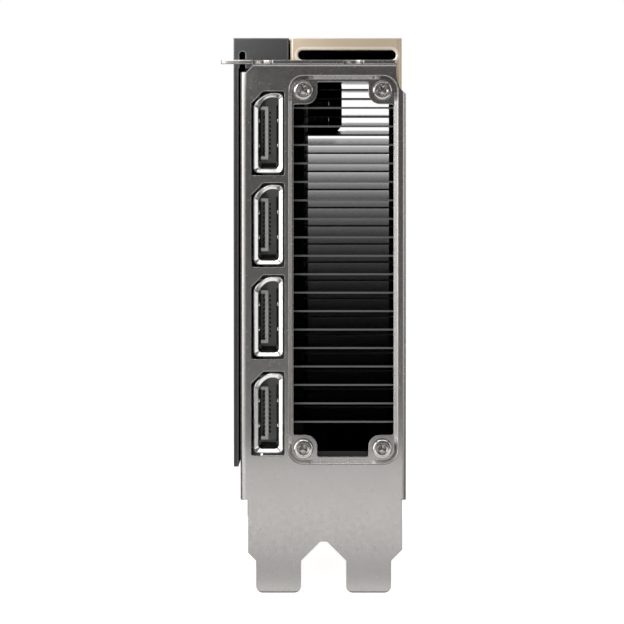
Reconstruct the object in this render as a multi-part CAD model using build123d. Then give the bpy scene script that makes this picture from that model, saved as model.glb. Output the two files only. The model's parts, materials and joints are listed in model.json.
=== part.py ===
from build123d import *
import os

# Passively cooled graphics accelerator card, full height and two slots thick.
# Lengths are in millimetres. The origin is on the underside of the bracket's tab,
# midway between the two screw notches and on the line through their centres.
# +X runs from the board to the fin tips, +Y along the card away from the bracket, +Z up.

# Sheet metal of the bracket
SHEET = 0.86
BEND_IN = 0.5
BEND_OUT = BEND_IN + SHEET
BEND_MID = BEND_IN + SHEET / 2
SLIP = 0.1
FACE_Y = 7.0
SLOT_PITCH = 20.32
BRACKET_HEIGHT = 120.02
BOTTOM_Z = SHEET - BRACKET_HEIGHT

# Tab that the chassis clamps
TAB_DEPTH = 11.43
TAB_LEFT = -19.46
TAB_RIGHT = 19.86
TAB_CORNER = 0.9
EAR_INNER = -12.7
EAR_RELIEF = 1.9
NOTCH_WIDTH = 4.42
TAB_FRONT_Y = FACE_Y - TAB_DEPTH

# Side flanges, bent back
LEFT_OUT = -15.33
RIGHT_OUT = 22.01
LEFT_DEPTH = 10.0
RIGHT_DEPTH = 7.0
LEFT_TANGENT = LEFT_OUT + BEND_OUT
RIGHT_TANGENT = RIGHT_OUT - BEND_OUT
FLANGE_LEFT_TOP = -1.8
FLANGE_RIGHT_TOP = -5.4
FLANGE_SLOPE = 1.3
FLANGE_LOW = -98.2
FLANGE_CORNER = 2.0
SHOULDER_TOP = -2.9

# Apron and forks below the flanges
APRON_LEFT = -13.62
APRON_RIGHT = 21.19
FORK_MID = 3.44
FORK_WIDTH = 10.19
FORK_ROOT = -111.95
FORK_CORNER = 1.6
VEE_FLAT = 1.5
VEE_CORNER = 0.4

# Pressed recess around the vent window
RECESS_DEPTH = 0.8
RECESS_X = (-4.54, 20.2)
RECESS_Z = (-90.1, -2.52)
RECESS_CORNER = 3.4
RECESS_EDGE = 0.25
WALL_SHIFT = SHEET * (2 ** 0.5 - 1)
WINDOW_X = (-3.39, 19.2)
WINDOW_Z = (-88.5, -4.0)
PAD_RADIUS = 3.1
WINDOW_CORNER = 0.5
SCREW_X = (-1.12, 16.66)
SCREW_Z = (-86.7, -5.9)

# Bracket screws
PAN_HEAD_R = 2.3
PAN_HEAD_H = 1.35
PAN_SHANK_R = 1.2
PAN_REACH = 4.6
PAD_HOLE_R = 1.45
BOSS_HOLE_R = 1.25
DRIVE_WIDTH = 0.62
DRIVE_SPAN = 2.3
DRIVE_DEPTH = 0.8
DRIVE_TAPER = 0.6

# Display sockets
PORT_X = -8.99
PORT_Z = (-15.5, -36.15, -56.9, -78.65)
PORT_OPEN = (4.5, 15.9)
PORT_KEY = 2.2
PORT_CORNER = 0.7
PORT_WALL = 0.35
PORT_FLARE = 0.8
PORT_LIP_Y = FACE_Y - 0.25
PORT_THROAT_Y = FACE_Y + 0.85
PORT_TUBE_END = FACE_Y + 12.0
PORT_BODY_END = FACE_Y + 19.5
PORT_BACK_Y = FACE_Y + 7.5
TONGUE_X = -9.39
TONGUE_T = 0.7
TONGUE_Z = 11.9
TONGUE_TIP_Y = FACE_Y + 1.4
TONGUE_HOOK = 0.95
CUTOUT_GAP = (0.5, 0.22, 0.45, 0.35)
CUTOUT_KEY = 2.75
CUTOUT_CORNER = 0.5
CONTACT_COUNT = 10
CONTACT_PITCH = 1.0
CONTACT_T = 0.12
CONTACT_W = 0.36
FINGER_RISE = 0.34
FINGER_SPAN = 2.4
FINGER_OFFSET = 2.8
FINGER_W = 0.8
FINGER_START = 1.2
LEG_W = 1.6

# Board
BOARD_T = 1.57
BOARD_REAR = -14.31
BOARD_FACE = BOARD_REAR + BOARD_T
CARD_HEIGHT = 111.15
TOP_Z = 5.9
EDGE_Z = TOP_Z - CARD_HEIGHT
TONGUE_DROP = 8.25
BOARD_LOW = EDGE_Z + TONGUE_DROP
BOARD_TOP = 4.4
CARD_LENGTH = 267.7
END_Y = FACE_Y + CARD_LENGTH
MIDDLE_Y = (FACE_Y + END_Y) / 2
BOARD_Y = (FACE_Y + 3.1, END_Y - 4.2)
BOARD_CORNER = 1.5

# Edge connector, short row, key and long row
EDGE_START = FACE_Y + 44.5
SHORT_COUNT = 11
LONG_COUNT = 71
EDGE_MARGIN = 0.65
KEY_WIDTH = 1.9
KEY_DEPTH = 7.0
SHORT_END = EDGE_START + SHORT_COUNT + EDGE_MARGIN
LONG_START = SHORT_END + KEY_WIDTH
LONG_END = LONG_START + LONG_COUNT + EDGE_MARGIN
EDGE_CORNER = 0.8
EDGE_BEVEL = 0.35
PAD_W = 0.7
PAD_T = 0.05
PAD_MARGIN = 0.6
PAD_LENGTH = 4.2
PAD_Z = (EDGE_Z + PAD_MARGIN, EDGE_Z + PAD_MARGIN + PAD_LENGTH)
HOOK_GAP = 2.6
HOOK_START = LONG_END + HOOK_GAP
HOOK_WIDTH = 4.6
HOOK_DROP = 5.2
HOOK_NOSE = 1.3

# Housing of the card
SKIN = 1.0
COVER_LEFT = -4.07
COVER_RIGHT = RIGHT_OUT - SHEET - SLIP
COVER_FRONT = FACE_Y + SHEET + RECESS_DEPTH
COVER_LOW = -90.8
COVER_BEND = 1.25
COVER_EDGE = 0.3
COVER_LEDGE = 1.2
BOSS_R = 2.7
BOSS_LENGTH = 3.6
BOSS_END = COVER_FRONT + SKIN + BOSS_LENGTH
CAPSULE_X = (-2.35, 19.73)
CAPSULE_Z = (0.95, 3.18)
CAPSULE_RIM = 0.3

# Back frame
PLATE_OUT = -16.87
PLATE_T = 1.1
PLATE_IN = PLATE_OUT + PLATE_T
FRAME_RIGHT = -4.5
LIP_T = 1.2
LIP_LOW = -0.9
REAR_WALL = 1.8
SLIT_X = (-15.55, -14.2)
SLIT_TOP = 2.86
EXTENDER_X = -9.4
EXTENDER_Z = (-84.0, 1.75)
EXTENDER_HOLE_R = 1.5
EXTENDER_BOSS_R = 3.1
EXTENDER_LENGTH = 4.0

# Heat sink
BASE_X = (-5.2, -1.2)
BASE_Y = (FACE_Y + 30.0, END_Y - 29.7)
BASE_Z = (COVER_LOW + SKIN + SLIP, TOP_Z - SKIN - SLIP)
FIN_PITCH = 2.084
FIN_T = 0.4
FIN_COUNT = 38
FIN_TOP = -3.6
FIN_LOWEST = FIN_TOP - (FIN_COUNT - 1) * FIN_PITCH
FIRST_LONG = 3
FIN_GAP = 0.4
FIN_SETBACK = 1.0
FIN_TIP = COVER_RIGHT - SKIN - FIN_GAP
FIN_LEFT = -4.5
LONG_FRONT = COVER_FRONT + SKIN + FIN_GAP
SHORT_FRONT = BASE_Y[0] + FIN_SETBACK
FIN_REAR = END_Y - 12.7
POST_LENGTH = 8.0
POST_DEPTH = 6.5
POST_HEIGHT = 5.4
POST_PITCH = 81.0
POST_Y = (MIDDLE_Y - POST_PITCH, MIDDLE_Y, MIDDLE_Y + POST_PITCH)

# Processor package
CHIP_SHIFT = 15.85
CHIP_Y = MIDDLE_Y - CHIP_SHIFT
CHIP_Z = (TOP_Z + COVER_LOW) / 2
PACKAGE = 50.0
SUBSTRATE_T = 2.0
DIE = (26.0, 28.0)
DIE_T = 0.8
RING_WIDTH = 4.0
RING_T = 0.6
PEDESTAL = 34.0

# Memory around the package
MEMORY = (12.0, 14.0)
MEMORY_T = 1.1
MEMORY_COUNT = 3
MEMORY_PITCH = 15.5
MEMORY_REACH = 36.0

# Power stages, inductors and capacitors
PHASE_COUNT = 8
PHASE_PITCH = 9.6
STAGE = (6.0, 5.0)
STAGE_T = 0.9
STAGE_SHIFT = 48.5
STAGE_Y = (CHIP_Y - STAGE_SHIFT, CHIP_Y + STAGE_SHIFT)
COIL = 7.4
COIL_T = 3.6
COIL_CORNER = 0.8
COIL_SHIFT = 59.0
COIL_Y = (CHIP_Y - COIL_SHIFT, CHIP_Y + COIL_SHIFT)
CAPACITOR = (4.3, 7.3)
CAPACITOR_T = 1.9
CAPACITOR_SHIFT = 69.0
CAPACITOR_Y = (CHIP_Y - CAPACITOR_SHIFT, CHIP_Y + CAPACITOR_SHIFT)
CONTROL = (7.0, 7.0)
CONTROL_T = 0.85
CONTROL_SHIFT = 88.0
CONTROL_Y = CHIP_Y + CONTROL_SHIFT
CONTROL_Z = (-70.0, -52.0, -34.0)

# Heat plate over memory and power parts
HEAT_UNDER = -10.6
PACKAGE_WELL = 52.0
COIL_POCKET = 2.0
POST_R = 3.25

# Screws from the rear
SPRING_REACH = 30.0
SPRING_ARM = 8.5
SPRING_END_R = 5.0
SPRING_T = 0.7
SPRING_FOOT = 0.4
SPRING_HEAD_R = 2.8
SPRING_HEAD_H = 1.2
SPRING_SHANK_R = 1.45
FRAME_SCREW_INSET = 5.4
FRAME_SCREW_DROP = 4.2
FRAME_SCREW_Y = (FACE_Y + 38.0, CHIP_Y + 35.0, END_Y - 37.7)
FRAME_SCREW_Z = (COVER_LOW + FRAME_SCREW_INSET, BOARD_TOP - FRAME_SCREW_DROP)
FLAT_HEAD_R = 2.3
FLAT_SHANK_R = 1.2
FLAT_REACH = 8.0
FLAT_DRIVE = 0.8
HOLE_GAP = 0.05
BOARD_GAP = 0.3

# Cover screws
COVER_HEAD_R = 1.95
COVER_SHANK_R = 0.95
COVER_REACH = 5.0

# Power socket at the far end
POWER_X = (BOARD_FACE, 7.6)
POWER_Z = (-16.6, -1.6)
POWER_LENGTH = 14.1
POWER_INSET = 0.4
POWER_GAP = 0.15
POWER_Y = (END_Y - POWER_INSET - POWER_LENGTH, END_Y - POWER_INSET)
POWER_ROUND = 3.0
POWER_PITCH = 4.2
POWER_COUNT = 4
POWER_CAVITY = 3.4
POWER_CAVITY_DEPTH = 10.5
POWER_ROW_Z = (-13.0, -8.8)
LATCH_Z = (-6.0, -3.4)
LATCH_X = (-6.4, 1.2)
LATCH_DEPTH = 9.0
PIN = 1.0
PIN_STEP = 3.2
PIN_INSET = 6.0
PIN_TIP_Y = POWER_Y[1] - PIN_INSET
PIN_PROUD = 0.5
PIN_FOOT = BOARD_REAR - PIN_PROUD
PIN_HOLE_R = 0.9
POWER_NOTCH_Y = POWER_Y[0] - PIN_STEP * (POWER_COUNT + 1)
POWER_CLEAR = 1.0
POWER_NOTCH_X = POWER_X[1] + POWER_CLEAR


# Helpers
def front(sketch, y0, y1):
    """Extrude an X-Z sketch from y0 back to y1."""
    return extrude(Plane.XZ.offset(-y1) * sketch, y1 - y0)


def plan(sketch, z0, z1):
    """Extrude an X-Y sketch from z0 up to z1."""
    return extrude(Plane.XY.offset(z0) * sketch, z1 - z0)


def side(sketch, x0, x1):
    """Extrude a Y-Z sketch from x0 out to x1."""
    return extrude(Plane.YZ.offset(x0) * sketch, x1 - x0)


def span(first, second):
    """Rectangle over a range of its first axis and a range of its second."""
    mid = Pos(sum(first) / 2, sum(second) / 2)
    return mid * Rectangle(first[1] - first[0], second[1] - second[0])


def loop(points, radii):
    """Face inside a closed outline with a radius at each corner."""
    return make_face(FilletPolyline(*points, radius=radii, close=True))


def group(shapes):
    """Separate solids kept together as one part."""
    return Compound([solid for shape in shapes for solid in shape.solids()])


def within(edges, axis, low, high):
    """Edges that lie between two positions on an axis, give or take a hair."""
    return edges.filter_by_position(axis, low - HOLE_GAP, high + HOLE_GAP)


def row(count, pitch):
    """Evenly spaced offsets about zero."""
    return [(i - (count - 1) / 2) * pitch for i in range(count)]


# Bracket
def face_outline():
    """Face, apron and forks in one flat outline."""
    half = FORK_WIDTH / 2
    left_fork, right_fork = FORK_MID - SLOT_PITCH / 2, FORK_MID + SLOT_PITCH / 2
    vee_z = FORK_ROOT + (right_fork - half - FORK_MID) - VEE_FLAT / 2
    left_step = left_fork - half - APRON_LEFT
    right_step = APRON_RIGHT - right_fork - half
    corners = [
        ((EAR_INNER, -BEND_IN), 0),
        ((TAB_RIGHT, -BEND_IN), 0),
        ((TAB_RIGHT, SHOULDER_TOP), 0),
        ((RIGHT_TANGENT, FLANGE_RIGHT_TOP), 0),
        ((RIGHT_TANGENT, FLANGE_LOW), 0),
        ((APRON_RIGHT, FLANGE_LOW), 0),
        ((APRON_RIGHT, FORK_ROOT + right_step), 0),
        ((right_fork + half, FORK_ROOT), 0),
        ((right_fork + half, BOTTOM_Z), FORK_CORNER),
        ((right_fork - half, BOTTOM_Z), FORK_CORNER),
        ((right_fork - half, FORK_ROOT), 0),
        ((FORK_MID + VEE_FLAT / 2, vee_z), VEE_CORNER),
        ((FORK_MID - VEE_FLAT / 2, vee_z), VEE_CORNER),
        ((left_fork + half, FORK_ROOT), 0),
        ((left_fork + half, BOTTOM_Z), FORK_CORNER),
        ((left_fork - half, BOTTOM_Z), FORK_CORNER),
        ((left_fork - half, FORK_ROOT), 0),
        ((APRON_LEFT, FORK_ROOT + left_step), 0),
        ((APRON_LEFT, FLANGE_LOW), 0),
        ((LEFT_TANGENT, FLANGE_LOW), 0),
        ((LEFT_TANGENT, FLANGE_LEFT_TOP), 0),
    ]
    return loop([point for point, _ in corners], [radius for _, radius in corners])


def flange_channel():
    """Face and both side flanges as one bent section."""
    left, right = LEFT_OUT + SHEET / 2, RIGHT_OUT - SHEET / 2
    middle = FACE_Y + SHEET / 2
    path = FilletPolyline(
        (left, FACE_Y + LEFT_DEPTH),
        (left, middle),
        (right, middle),
        (right, FACE_Y + RIGHT_DEPTH),
        radius=BEND_MID,
    )
    channel = plan(trace(path, SHEET), FLANGE_LOW, FLANGE_LEFT_TOP)
    ends = channel.edges().filter_by(Axis.X).group_by(Axis.Y)
    channel = fillet(ends[-1] + ends[-2], FLANGE_CORNER)
    slope = FLANGE_RIGHT_TOP - FLANGE_SLOPE
    clear = RIGHT_OUT + SHEET
    trim = [
        (TAB_RIGHT, 0),
        (TAB_RIGHT, SHOULDER_TOP),
        (RIGHT_TANGENT, FLANGE_RIGHT_TOP),
        (RIGHT_OUT, slope),
        (clear, slope),
        (clear, 0),
    ]
    over = make_face(Polyline(*trim, close=True))
    return channel - front(over, FACE_Y - SHEET, FACE_Y + LEFT_DEPTH)


def chassis_tab():
    """Tab bent towards the front, with its ear and two open screw notches."""
    middle, run = FACE_Y + SHEET / 2, BEND_OUT + SHEET
    path = FilletPolyline(
        (middle, -run),
        (middle, SHEET / 2),
        (FACE_Y - run, SHEET / 2),
        radius=BEND_MID,
    )
    bend = side(trace(path, SHEET), EAR_INNER, TAB_RIGHT)
    ear_back = FACE_Y - EAR_RELIEF
    corners = [
        ((TAB_LEFT, TAB_FRONT_Y), TAB_CORNER),
        ((TAB_RIGHT, TAB_FRONT_Y), TAB_CORNER),
        ((TAB_RIGHT, FACE_Y - BEND_IN), 0),
        ((EAR_INNER, FACE_Y - BEND_IN), 0),
        ((EAR_INNER, ear_back), 0),
        ((TAB_LEFT, ear_back), TAB_CORNER),
    ]
    flat = loop([point for point, _ in corners], [radius for _, radius in corners])
    for x in (-SLOT_PITCH / 2, SLOT_PITCH / 2):
        mouth = (x - NOTCH_WIDTH / 2, x + NOTCH_WIDTH / 2)
        flat -= Pos(x, 0) * Circle(NOTCH_WIDTH / 2)
        flat -= span(mouth, (TAB_FRONT_Y - SHEET, 0))
    return bend + plan(flat, 0, SHEET)


def recess_outline(grow):
    """Rounded rectangle of the recess, grown or shrunk all round."""
    width = RECESS_X[1] - RECESS_X[0] + 2 * grow
    height = RECESS_Z[1] - RECESS_Z[0] + 2 * grow
    shape = RectangleRounded(width, height, RECESS_CORNER + grow)
    return Pos(sum(RECESS_X) / 2, sum(RECESS_Z) / 2) * shape


def recess_block(y, grow):
    """Tapered block of the recess behind y, with walls at 45 degrees."""
    near = Plane.XZ.offset(-y) * recess_outline(grow)
    far = Plane.XZ.offset(-y - RECESS_DEPTH) * recess_outline(grow - RECESS_DEPTH)
    return loft([near, far], ruled=True)


def window_outline():
    """Vent window that leaves a screw pad in each corner."""
    pad_l, pad_r = SCREW_X[0] + PAD_RADIUS, SCREW_X[1] - PAD_RADIUS
    pad_d, pad_u = SCREW_Z[0] + PAD_RADIUS, SCREW_Z[1] - PAD_RADIUS
    left, right = WINDOW_X
    low, high = WINDOW_Z
    points = []
    for x, pad_x, z, pad_z, turned in (
        (left, pad_l, high, pad_u, False),
        (right, pad_r, high, pad_u, True),
        (right, pad_r, low, pad_d, False),
        (left, pad_l, low, pad_d, True),
    ):
        corner = [(x, pad_z), (pad_x, pad_z), (pad_x, z)]
        points += corner[::-1] if turned else corner
    radii = [WINDOW_CORNER, PAD_RADIUS - WINDOW_CORNER, WINDOW_CORNER] * 4
    return loop(points, radii)


def port_cutout(z):
    """Opening in the face around one socket, with its keyed corner cut off."""
    left, right, low, high = CUTOUT_GAP
    reach = PORT_WALL + PORT_FLARE
    half_w, half_h = PORT_OPEN[0] / 2 + reach, PORT_OPEN[1] / 2 + reach
    x0, x1 = PORT_X - half_w - left, PORT_X + half_w + right
    z0, z1 = z - half_h - low, z + half_h + high
    points = [
        (x0, z0),
        (x1, z0),
        (x1, z1),
        (x0 + CUTOUT_KEY, z1),
        (x0, z1 - CUTOUT_KEY),
    ]
    return loop(points, [CUTOUT_CORNER] * len(points))


def screw_points():
    """Centres of the four bracket screws in X and Z."""
    return [(x, z) for x in SCREW_X for z in SCREW_Z]


def io_bracket():
    """Bracket formed from one sheet."""
    body = front(face_outline(), FACE_Y, FACE_Y + SHEET)
    body += flange_channel()
    body += chassis_tab()
    body += recess_block(FACE_Y + SHEET, WALL_SHIFT)
    body -= recess_block(FACE_Y, 0)
    rim = within(body.edges(), Axis.Y, FACE_Y, FACE_Y)
    rim = within(within(rim, Axis.X, *RECESS_X), Axis.Z, *RECESS_Z)
    body = fillet(rim, RECESS_EDGE)
    openings = window_outline()
    for z in PORT_Z:
        openings += port_cutout(z)
    for x, z in screw_points():
        openings += Pos(x, z) * Circle(PAD_HOLE_R)
    return body - front(openings, FACE_Y - SHEET, COVER_FRONT + SHEET)


def drive_bars(share):
    """Two crossed bars of the drive, at a share of their full size."""
    bars = Rectangle(DRIVE_SPAN, DRIVE_WIDTH) + Rectangle(DRIVE_WIDTH, DRIVE_SPAN)
    return scale(bars, share)


def drive_cross():
    """Cross recess that narrows towards its bottom, below a head top at zero."""
    return loft([Pos(0, 0, -DRIVE_DEPTH) * drive_bars(DRIVE_TAPER), drive_bars(1)], ruled=True)


def pan_screw():
    """Pan head screw along Z, seat at zero and head above it."""
    crown = PAN_HEAD_H / 2
    dome = (PAN_HEAD_R ** 2 + crown ** 2) / (2 * crown)
    half = PAN_HEAD_R / 2
    halfway = (half, PAN_HEAD_H - dome + (dome ** 2 - half ** 2) ** 0.5)
    outline = [
        Line((0, -PAN_REACH), (PAN_SHANK_R, -PAN_REACH)),
        Line((PAN_SHANK_R, -PAN_REACH), (PAN_SHANK_R, 0)),
        Line((PAN_SHANK_R, 0), (PAN_HEAD_R, 0)),
        Line((PAN_HEAD_R, 0), (PAN_HEAD_R, crown)),
        ThreePointArc((PAN_HEAD_R, crown), halfway, (0, PAN_HEAD_H)),
        Line((0, PAN_HEAD_H), (0, -PAN_REACH)),
    ]
    body = revolve(Plane.XZ * make_face(outline), Axis.Z)
    return body - Pos(0, 0, PAN_HEAD_H) * drive_cross()


def bracket_screws():
    """Four screws that hold the bracket's pads to the cover."""
    seat = FACE_Y + RECESS_DEPTH
    screw = pan_screw()
    return group([Pos(x, seat, z) * Rot(90, 0, 0) * screw for x, z in screw_points()])


# Display sockets
def port_outline(grow):
    """Socket opening with its keyed corner, grown all round."""
    half_w, half_h = PORT_OPEN[0] / 2, PORT_OPEN[1] / 2
    points = [
        (-half_w + PORT_CORNER, -half_h),
        (half_w - PORT_CORNER, -half_h),
        (half_w, -half_h + PORT_CORNER),
        (half_w, half_h - PORT_CORNER),
        (half_w - PORT_CORNER, half_h),
        (-half_w + PORT_KEY, half_h),
        (-half_w, half_h - PORT_KEY),
        (-half_w, -half_h + PORT_CORNER),
    ]
    shape = make_face(Polyline(*points, close=True))
    return offset(shape, grow, kind=Kind.INTERSECTION) if grow else shape


def port_mouth(grow):
    """Flared mouth between the lip and the throat."""
    lip = Plane.XZ.offset(-PORT_LIP_Y) * port_outline(grow + PORT_FLARE)
    throat = Plane.XZ.offset(-PORT_THROAT_Y) * port_outline(grow)
    return loft([lip, throat], ruled=True)


def spring_fingers():
    """Four pressed fingers that grip a plug, two on each long wall."""
    wall = PORT_OPEN[0] / 2
    start = PORT_THROAT_Y + FINGER_START
    fingers = Part()
    for hand in (-1, 1):
        tip = hand * (wall - FINGER_RISE)
        middle, end = start + FINGER_SPAN / 2, start + FINGER_SPAN
        points = [(hand * wall, start), (tip, middle), (hand * wall, end)]
        wedge = make_face(Polyline(*points, close=True))
        for z in (-FINGER_OFFSET, FINGER_OFFSET):
            fingers += plan(wedge, z - FINGER_W / 2, z + FINGER_W / 2)
    return fingers


def port_shell():
    """Sheet metal shell of one socket, with legs that stand on the board."""
    tube = front(port_outline(PORT_WALL), PORT_THROAT_Y, PORT_TUBE_END)
    tube -= front(port_outline(0), PORT_THROAT_Y, PORT_TUBE_END)
    body = tube + (port_mouth(PORT_WALL) - port_mouth(0)) + spring_fingers()
    outer = PORT_OPEN[1] / 2 + PORT_WALL
    leg_x = (BOARD_FACE - PORT_X, 0)
    leg_y = (PORT_TUBE_END - 2 * LEG_W, PORT_TUBE_END - LEG_W)
    for z in (-outer, outer - PORT_WALL):
        body += plan(span(leg_x, leg_y), z, z + PORT_WALL)
    return body


def tongue_outline():
    """Contact blade with a hook at each end, seen from the front."""
    x, half = TONGUE_X - PORT_X, TONGUE_Z / 2
    blade = span((x - TONGUE_T / 2, x + TONGUE_T / 2), (-half, half))
    for z in (-half + TONGUE_T / 2, half - TONGUE_T / 2):
        hook_x = (x - TONGUE_T / 2 - TONGUE_HOOK, x)
        blade += span(hook_x, (z - TONGUE_T / 2, z + TONGUE_T / 2))
    return blade


def port_insert():
    """Moulded insulator: back wall in the shell, blade, and a block on the board."""
    fill = front(port_outline(-HOLE_GAP), PORT_BACK_Y, PORT_TUBE_END)
    blade = front(tongue_outline(), TONGUE_TIP_Y, PORT_BACK_Y)
    reach = PORT_WALL + PORT_OPEN[0] / 2
    tall = PORT_OPEN[1] / 2 + PORT_WALL
    block = span((BOARD_FACE - PORT_X, reach), (-tall, tall))
    return fill + blade + front(block, PORT_TUBE_END, PORT_BODY_END)


def port_contacts():
    """Contacts on both faces of the blade."""
    x, half = TONGUE_X - PORT_X, TONGUE_T / 2
    length = (TONGUE_TIP_Y + CONTACT_W, PORT_BACK_Y)
    strips = []
    for z in row(CONTACT_COUNT, CONTACT_PITCH):
        for face in ((x - half - CONTACT_T, x - half), (x + half, x + half + CONTACT_T)):
            strips.append(plan(span(face, length), z - CONTACT_W / 2, z + CONTACT_W / 2))
    return group(strips)


# Board
def board_outline():
    """Board seen along X, with the keyed edge connector and retention hook."""
    hook_end = HOOK_START + HOOK_WIDTH
    hook_z = BOARD_LOW - HOOK_DROP
    nose = HOOK_START - HOOK_NOSE
    key_z = EDGE_Z + KEY_DEPTH
    corners = [
        ((BOARD_Y[0], BOARD_LOW), BOARD_CORNER),
        ((EDGE_START, BOARD_LOW), BOARD_CORNER / 2),
        ((EDGE_START, EDGE_Z), EDGE_CORNER),
        ((SHORT_END, EDGE_Z), EDGE_CORNER),
        ((SHORT_END, key_z), 0),
        ((LONG_START, key_z), 0),
        ((LONG_START, EDGE_Z), EDGE_CORNER),
        ((LONG_END, EDGE_Z), EDGE_CORNER),
        ((LONG_END, BOARD_LOW), BOARD_CORNER / 2),
        ((HOOK_START, BOARD_LOW), 0),
        ((HOOK_START, hook_z + HOOK_NOSE), 0),
        ((nose, hook_z + HOOK_NOSE), 0),
        ((nose, hook_z), 0),
        ((hook_end, hook_z), BOARD_CORNER),
        ((hook_end, BOARD_LOW), BOARD_CORNER / 2),
        ((BOARD_Y[1], BOARD_LOW), BOARD_CORNER),
        ((BOARD_Y[1], BOARD_TOP), BOARD_CORNER),
        ((BOARD_Y[0], BOARD_TOP), BOARD_CORNER),
    ]
    return loop([point for point, _ in corners], [radius for _, radius in corners])


def spring_points():
    """Screws of the spring plate in Y and Z, one at each corner of the package."""
    offsets = (-SPRING_REACH, SPRING_REACH)
    return [(CHIP_Y + a, CHIP_Z + b) for a in offsets for b in offsets]


def frame_points():
    """Screws of the back frame in Y and Z."""
    return [(y, z) for y in FRAME_SCREW_Y for z in FRAME_SCREW_Z]


def pin_points():
    """Power pins: column X, Z of the row, and Y where the pin turns to the board."""
    middle = sum(POWER_X) / 2
    points = []
    for column, x in enumerate(row(POWER_COUNT, POWER_PITCH)):
        turn = POWER_Y[0] - PIN_STEP * (column + 1)
        points += [(middle + x, z, turn) for z in POWER_ROW_Z]
    return points


def main_board():
    """Printed board with its drilled holes and bevelled connector edge."""
    outline = board_outline()
    for y, z in spring_points():
        outline -= Pos(y, z) * Circle(SPRING_SHANK_R + BOARD_GAP)
    for y, z in frame_points():
        outline -= Pos(y, z) * Circle(FLAT_SHANK_R + BOARD_GAP)
    for _, z, turn in pin_points():
        outline -= Pos(turn, z) * Circle(PIN_HOLE_R)
    board = side(outline, BOARD_REAR, BOARD_FACE)
    tips = within(board.edges().filter_by(Axis.Y), Axis.Z, EDGE_Z, EDGE_Z)
    return chamfer(tips, EDGE_BEVEL)


def edge_contacts():
    """Gold pads on both faces of the edge connector."""
    starts = [EDGE_START + i for i in range(SHORT_COUNT)]
    starts += [LONG_START + i for i in range(LONG_COUNT)]
    first = (EDGE_MARGIN + 1 - PAD_W) / 2
    pads = []
    for y in starts:
        pad = span((y + first, y + first + PAD_W), PAD_Z)
        pads.append(side(pad, BOARD_FACE, BOARD_FACE + PAD_T))
        pads.append(side(pad, BOARD_REAR - PAD_T, BOARD_REAR))
    return group(pads)


# Processor package
def gpu_substrate():
    """Carrier of the processor."""
    carrier = Pos(CHIP_Y, CHIP_Z) * Rectangle(PACKAGE, PACKAGE)
    return side(carrier, BOARD_FACE, BOARD_FACE + SUBSTRATE_T)


def gpu_die():
    """Bare processor die."""
    top = BOARD_FACE + SUBSTRATE_T
    return side(Pos(CHIP_Y, CHIP_Z) * Rectangle(*DIE), top, top + DIE_T)


def gpu_stiffener():
    """Metal ring that keeps the carrier flat."""
    inner = PACKAGE - 2 * RING_WIDTH
    ring = Rectangle(PACKAGE, PACKAGE) - RectangleRounded(inner, inner, RING_WIDTH / 2)
    top = BOARD_FACE + SUBSTRATE_T
    return side(Pos(CHIP_Y, CHIP_Z) * ring, top, top + RING_T)


# Memory
def memory_places():
    """Memory chips in a row along each side of the package."""
    flat, upright = Rectangle(MEMORY[1], MEMORY[0]), Rectangle(MEMORY[0], MEMORY[1])
    places = []
    for u in row(MEMORY_COUNT, MEMORY_PITCH):
        for v in (-MEMORY_REACH, MEMORY_REACH):
            places.append(Pos(CHIP_Y + u, CHIP_Z + v) * flat)
            places.append(Pos(CHIP_Y + v, CHIP_Z + u) * upright)
    return places


def memory_layer(x0, x1):
    """One layer over every memory place."""
    return group([side(place, x0, x1) for place in memory_places()])


# Power parts
def phase_layer(size, stations, x0, x1, corner=0.0):
    """One layer over every phase at the given stations along the card."""
    shape = RectangleRounded(*size, corner) if corner else Rectangle(*size)
    parts = []
    for y in stations:
        for z in row(PHASE_COUNT, PHASE_PITCH):
            parts.append(side(Pos(y, CHIP_Z + z) * shape, x0, x1))
    return group(parts)


def control_chips():
    """Supply controllers and flash memory."""
    chip = Rectangle(*CONTROL)
    top = BOARD_FACE + CONTROL_T
    return group([side(Pos(CONTROL_Y, z) * chip, BOARD_FACE, top) for z in CONTROL_Z])


# Cooling
def screw_post(point, hole_r):
    """Post from the board to the heat plate with a hole along it."""
    post = Circle(POST_R) - Circle(hole_r + HOLE_GAP)
    return side(Pos(*point) * post, BOARD_FACE, HEAT_UNDER)


def heat_plate():
    """Plate on memory and power parts, with posts that stand on the board."""
    plate = side(span(BASE_Y, BASE_Z), HEAT_UNDER, BASE_X[0])
    cuts = Pos(CHIP_Y, CHIP_Z) * Rectangle(PACKAGE_WELL, PACKAGE_WELL)
    for y, z in spring_points():
        cuts += Pos(y, z) * Circle(SPRING_SHANK_R + HOLE_GAP)
    for y, z in frame_points():
        cuts += Pos(y, z) * Circle(FLAT_SHANK_R + HOLE_GAP)
    plate -= side(cuts, HEAT_UNDER, BASE_X[0])
    pocket_z = PHASE_COUNT * PHASE_PITCH
    for y in COIL_Y:
        pocket = RectangleRounded(COIL + 2 * COIL_CORNER, pocket_z, COIL_CORNER)
        plate -= side(Pos(y, CHIP_Z) * pocket, HEAT_UNDER, HEAT_UNDER + COIL_POCKET)
    for point in spring_points():
        plate += screw_post(point, SPRING_SHANK_R)
    for point in frame_points():
        plate += screw_post(point, FLAT_SHANK_R)
    return plate


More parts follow.
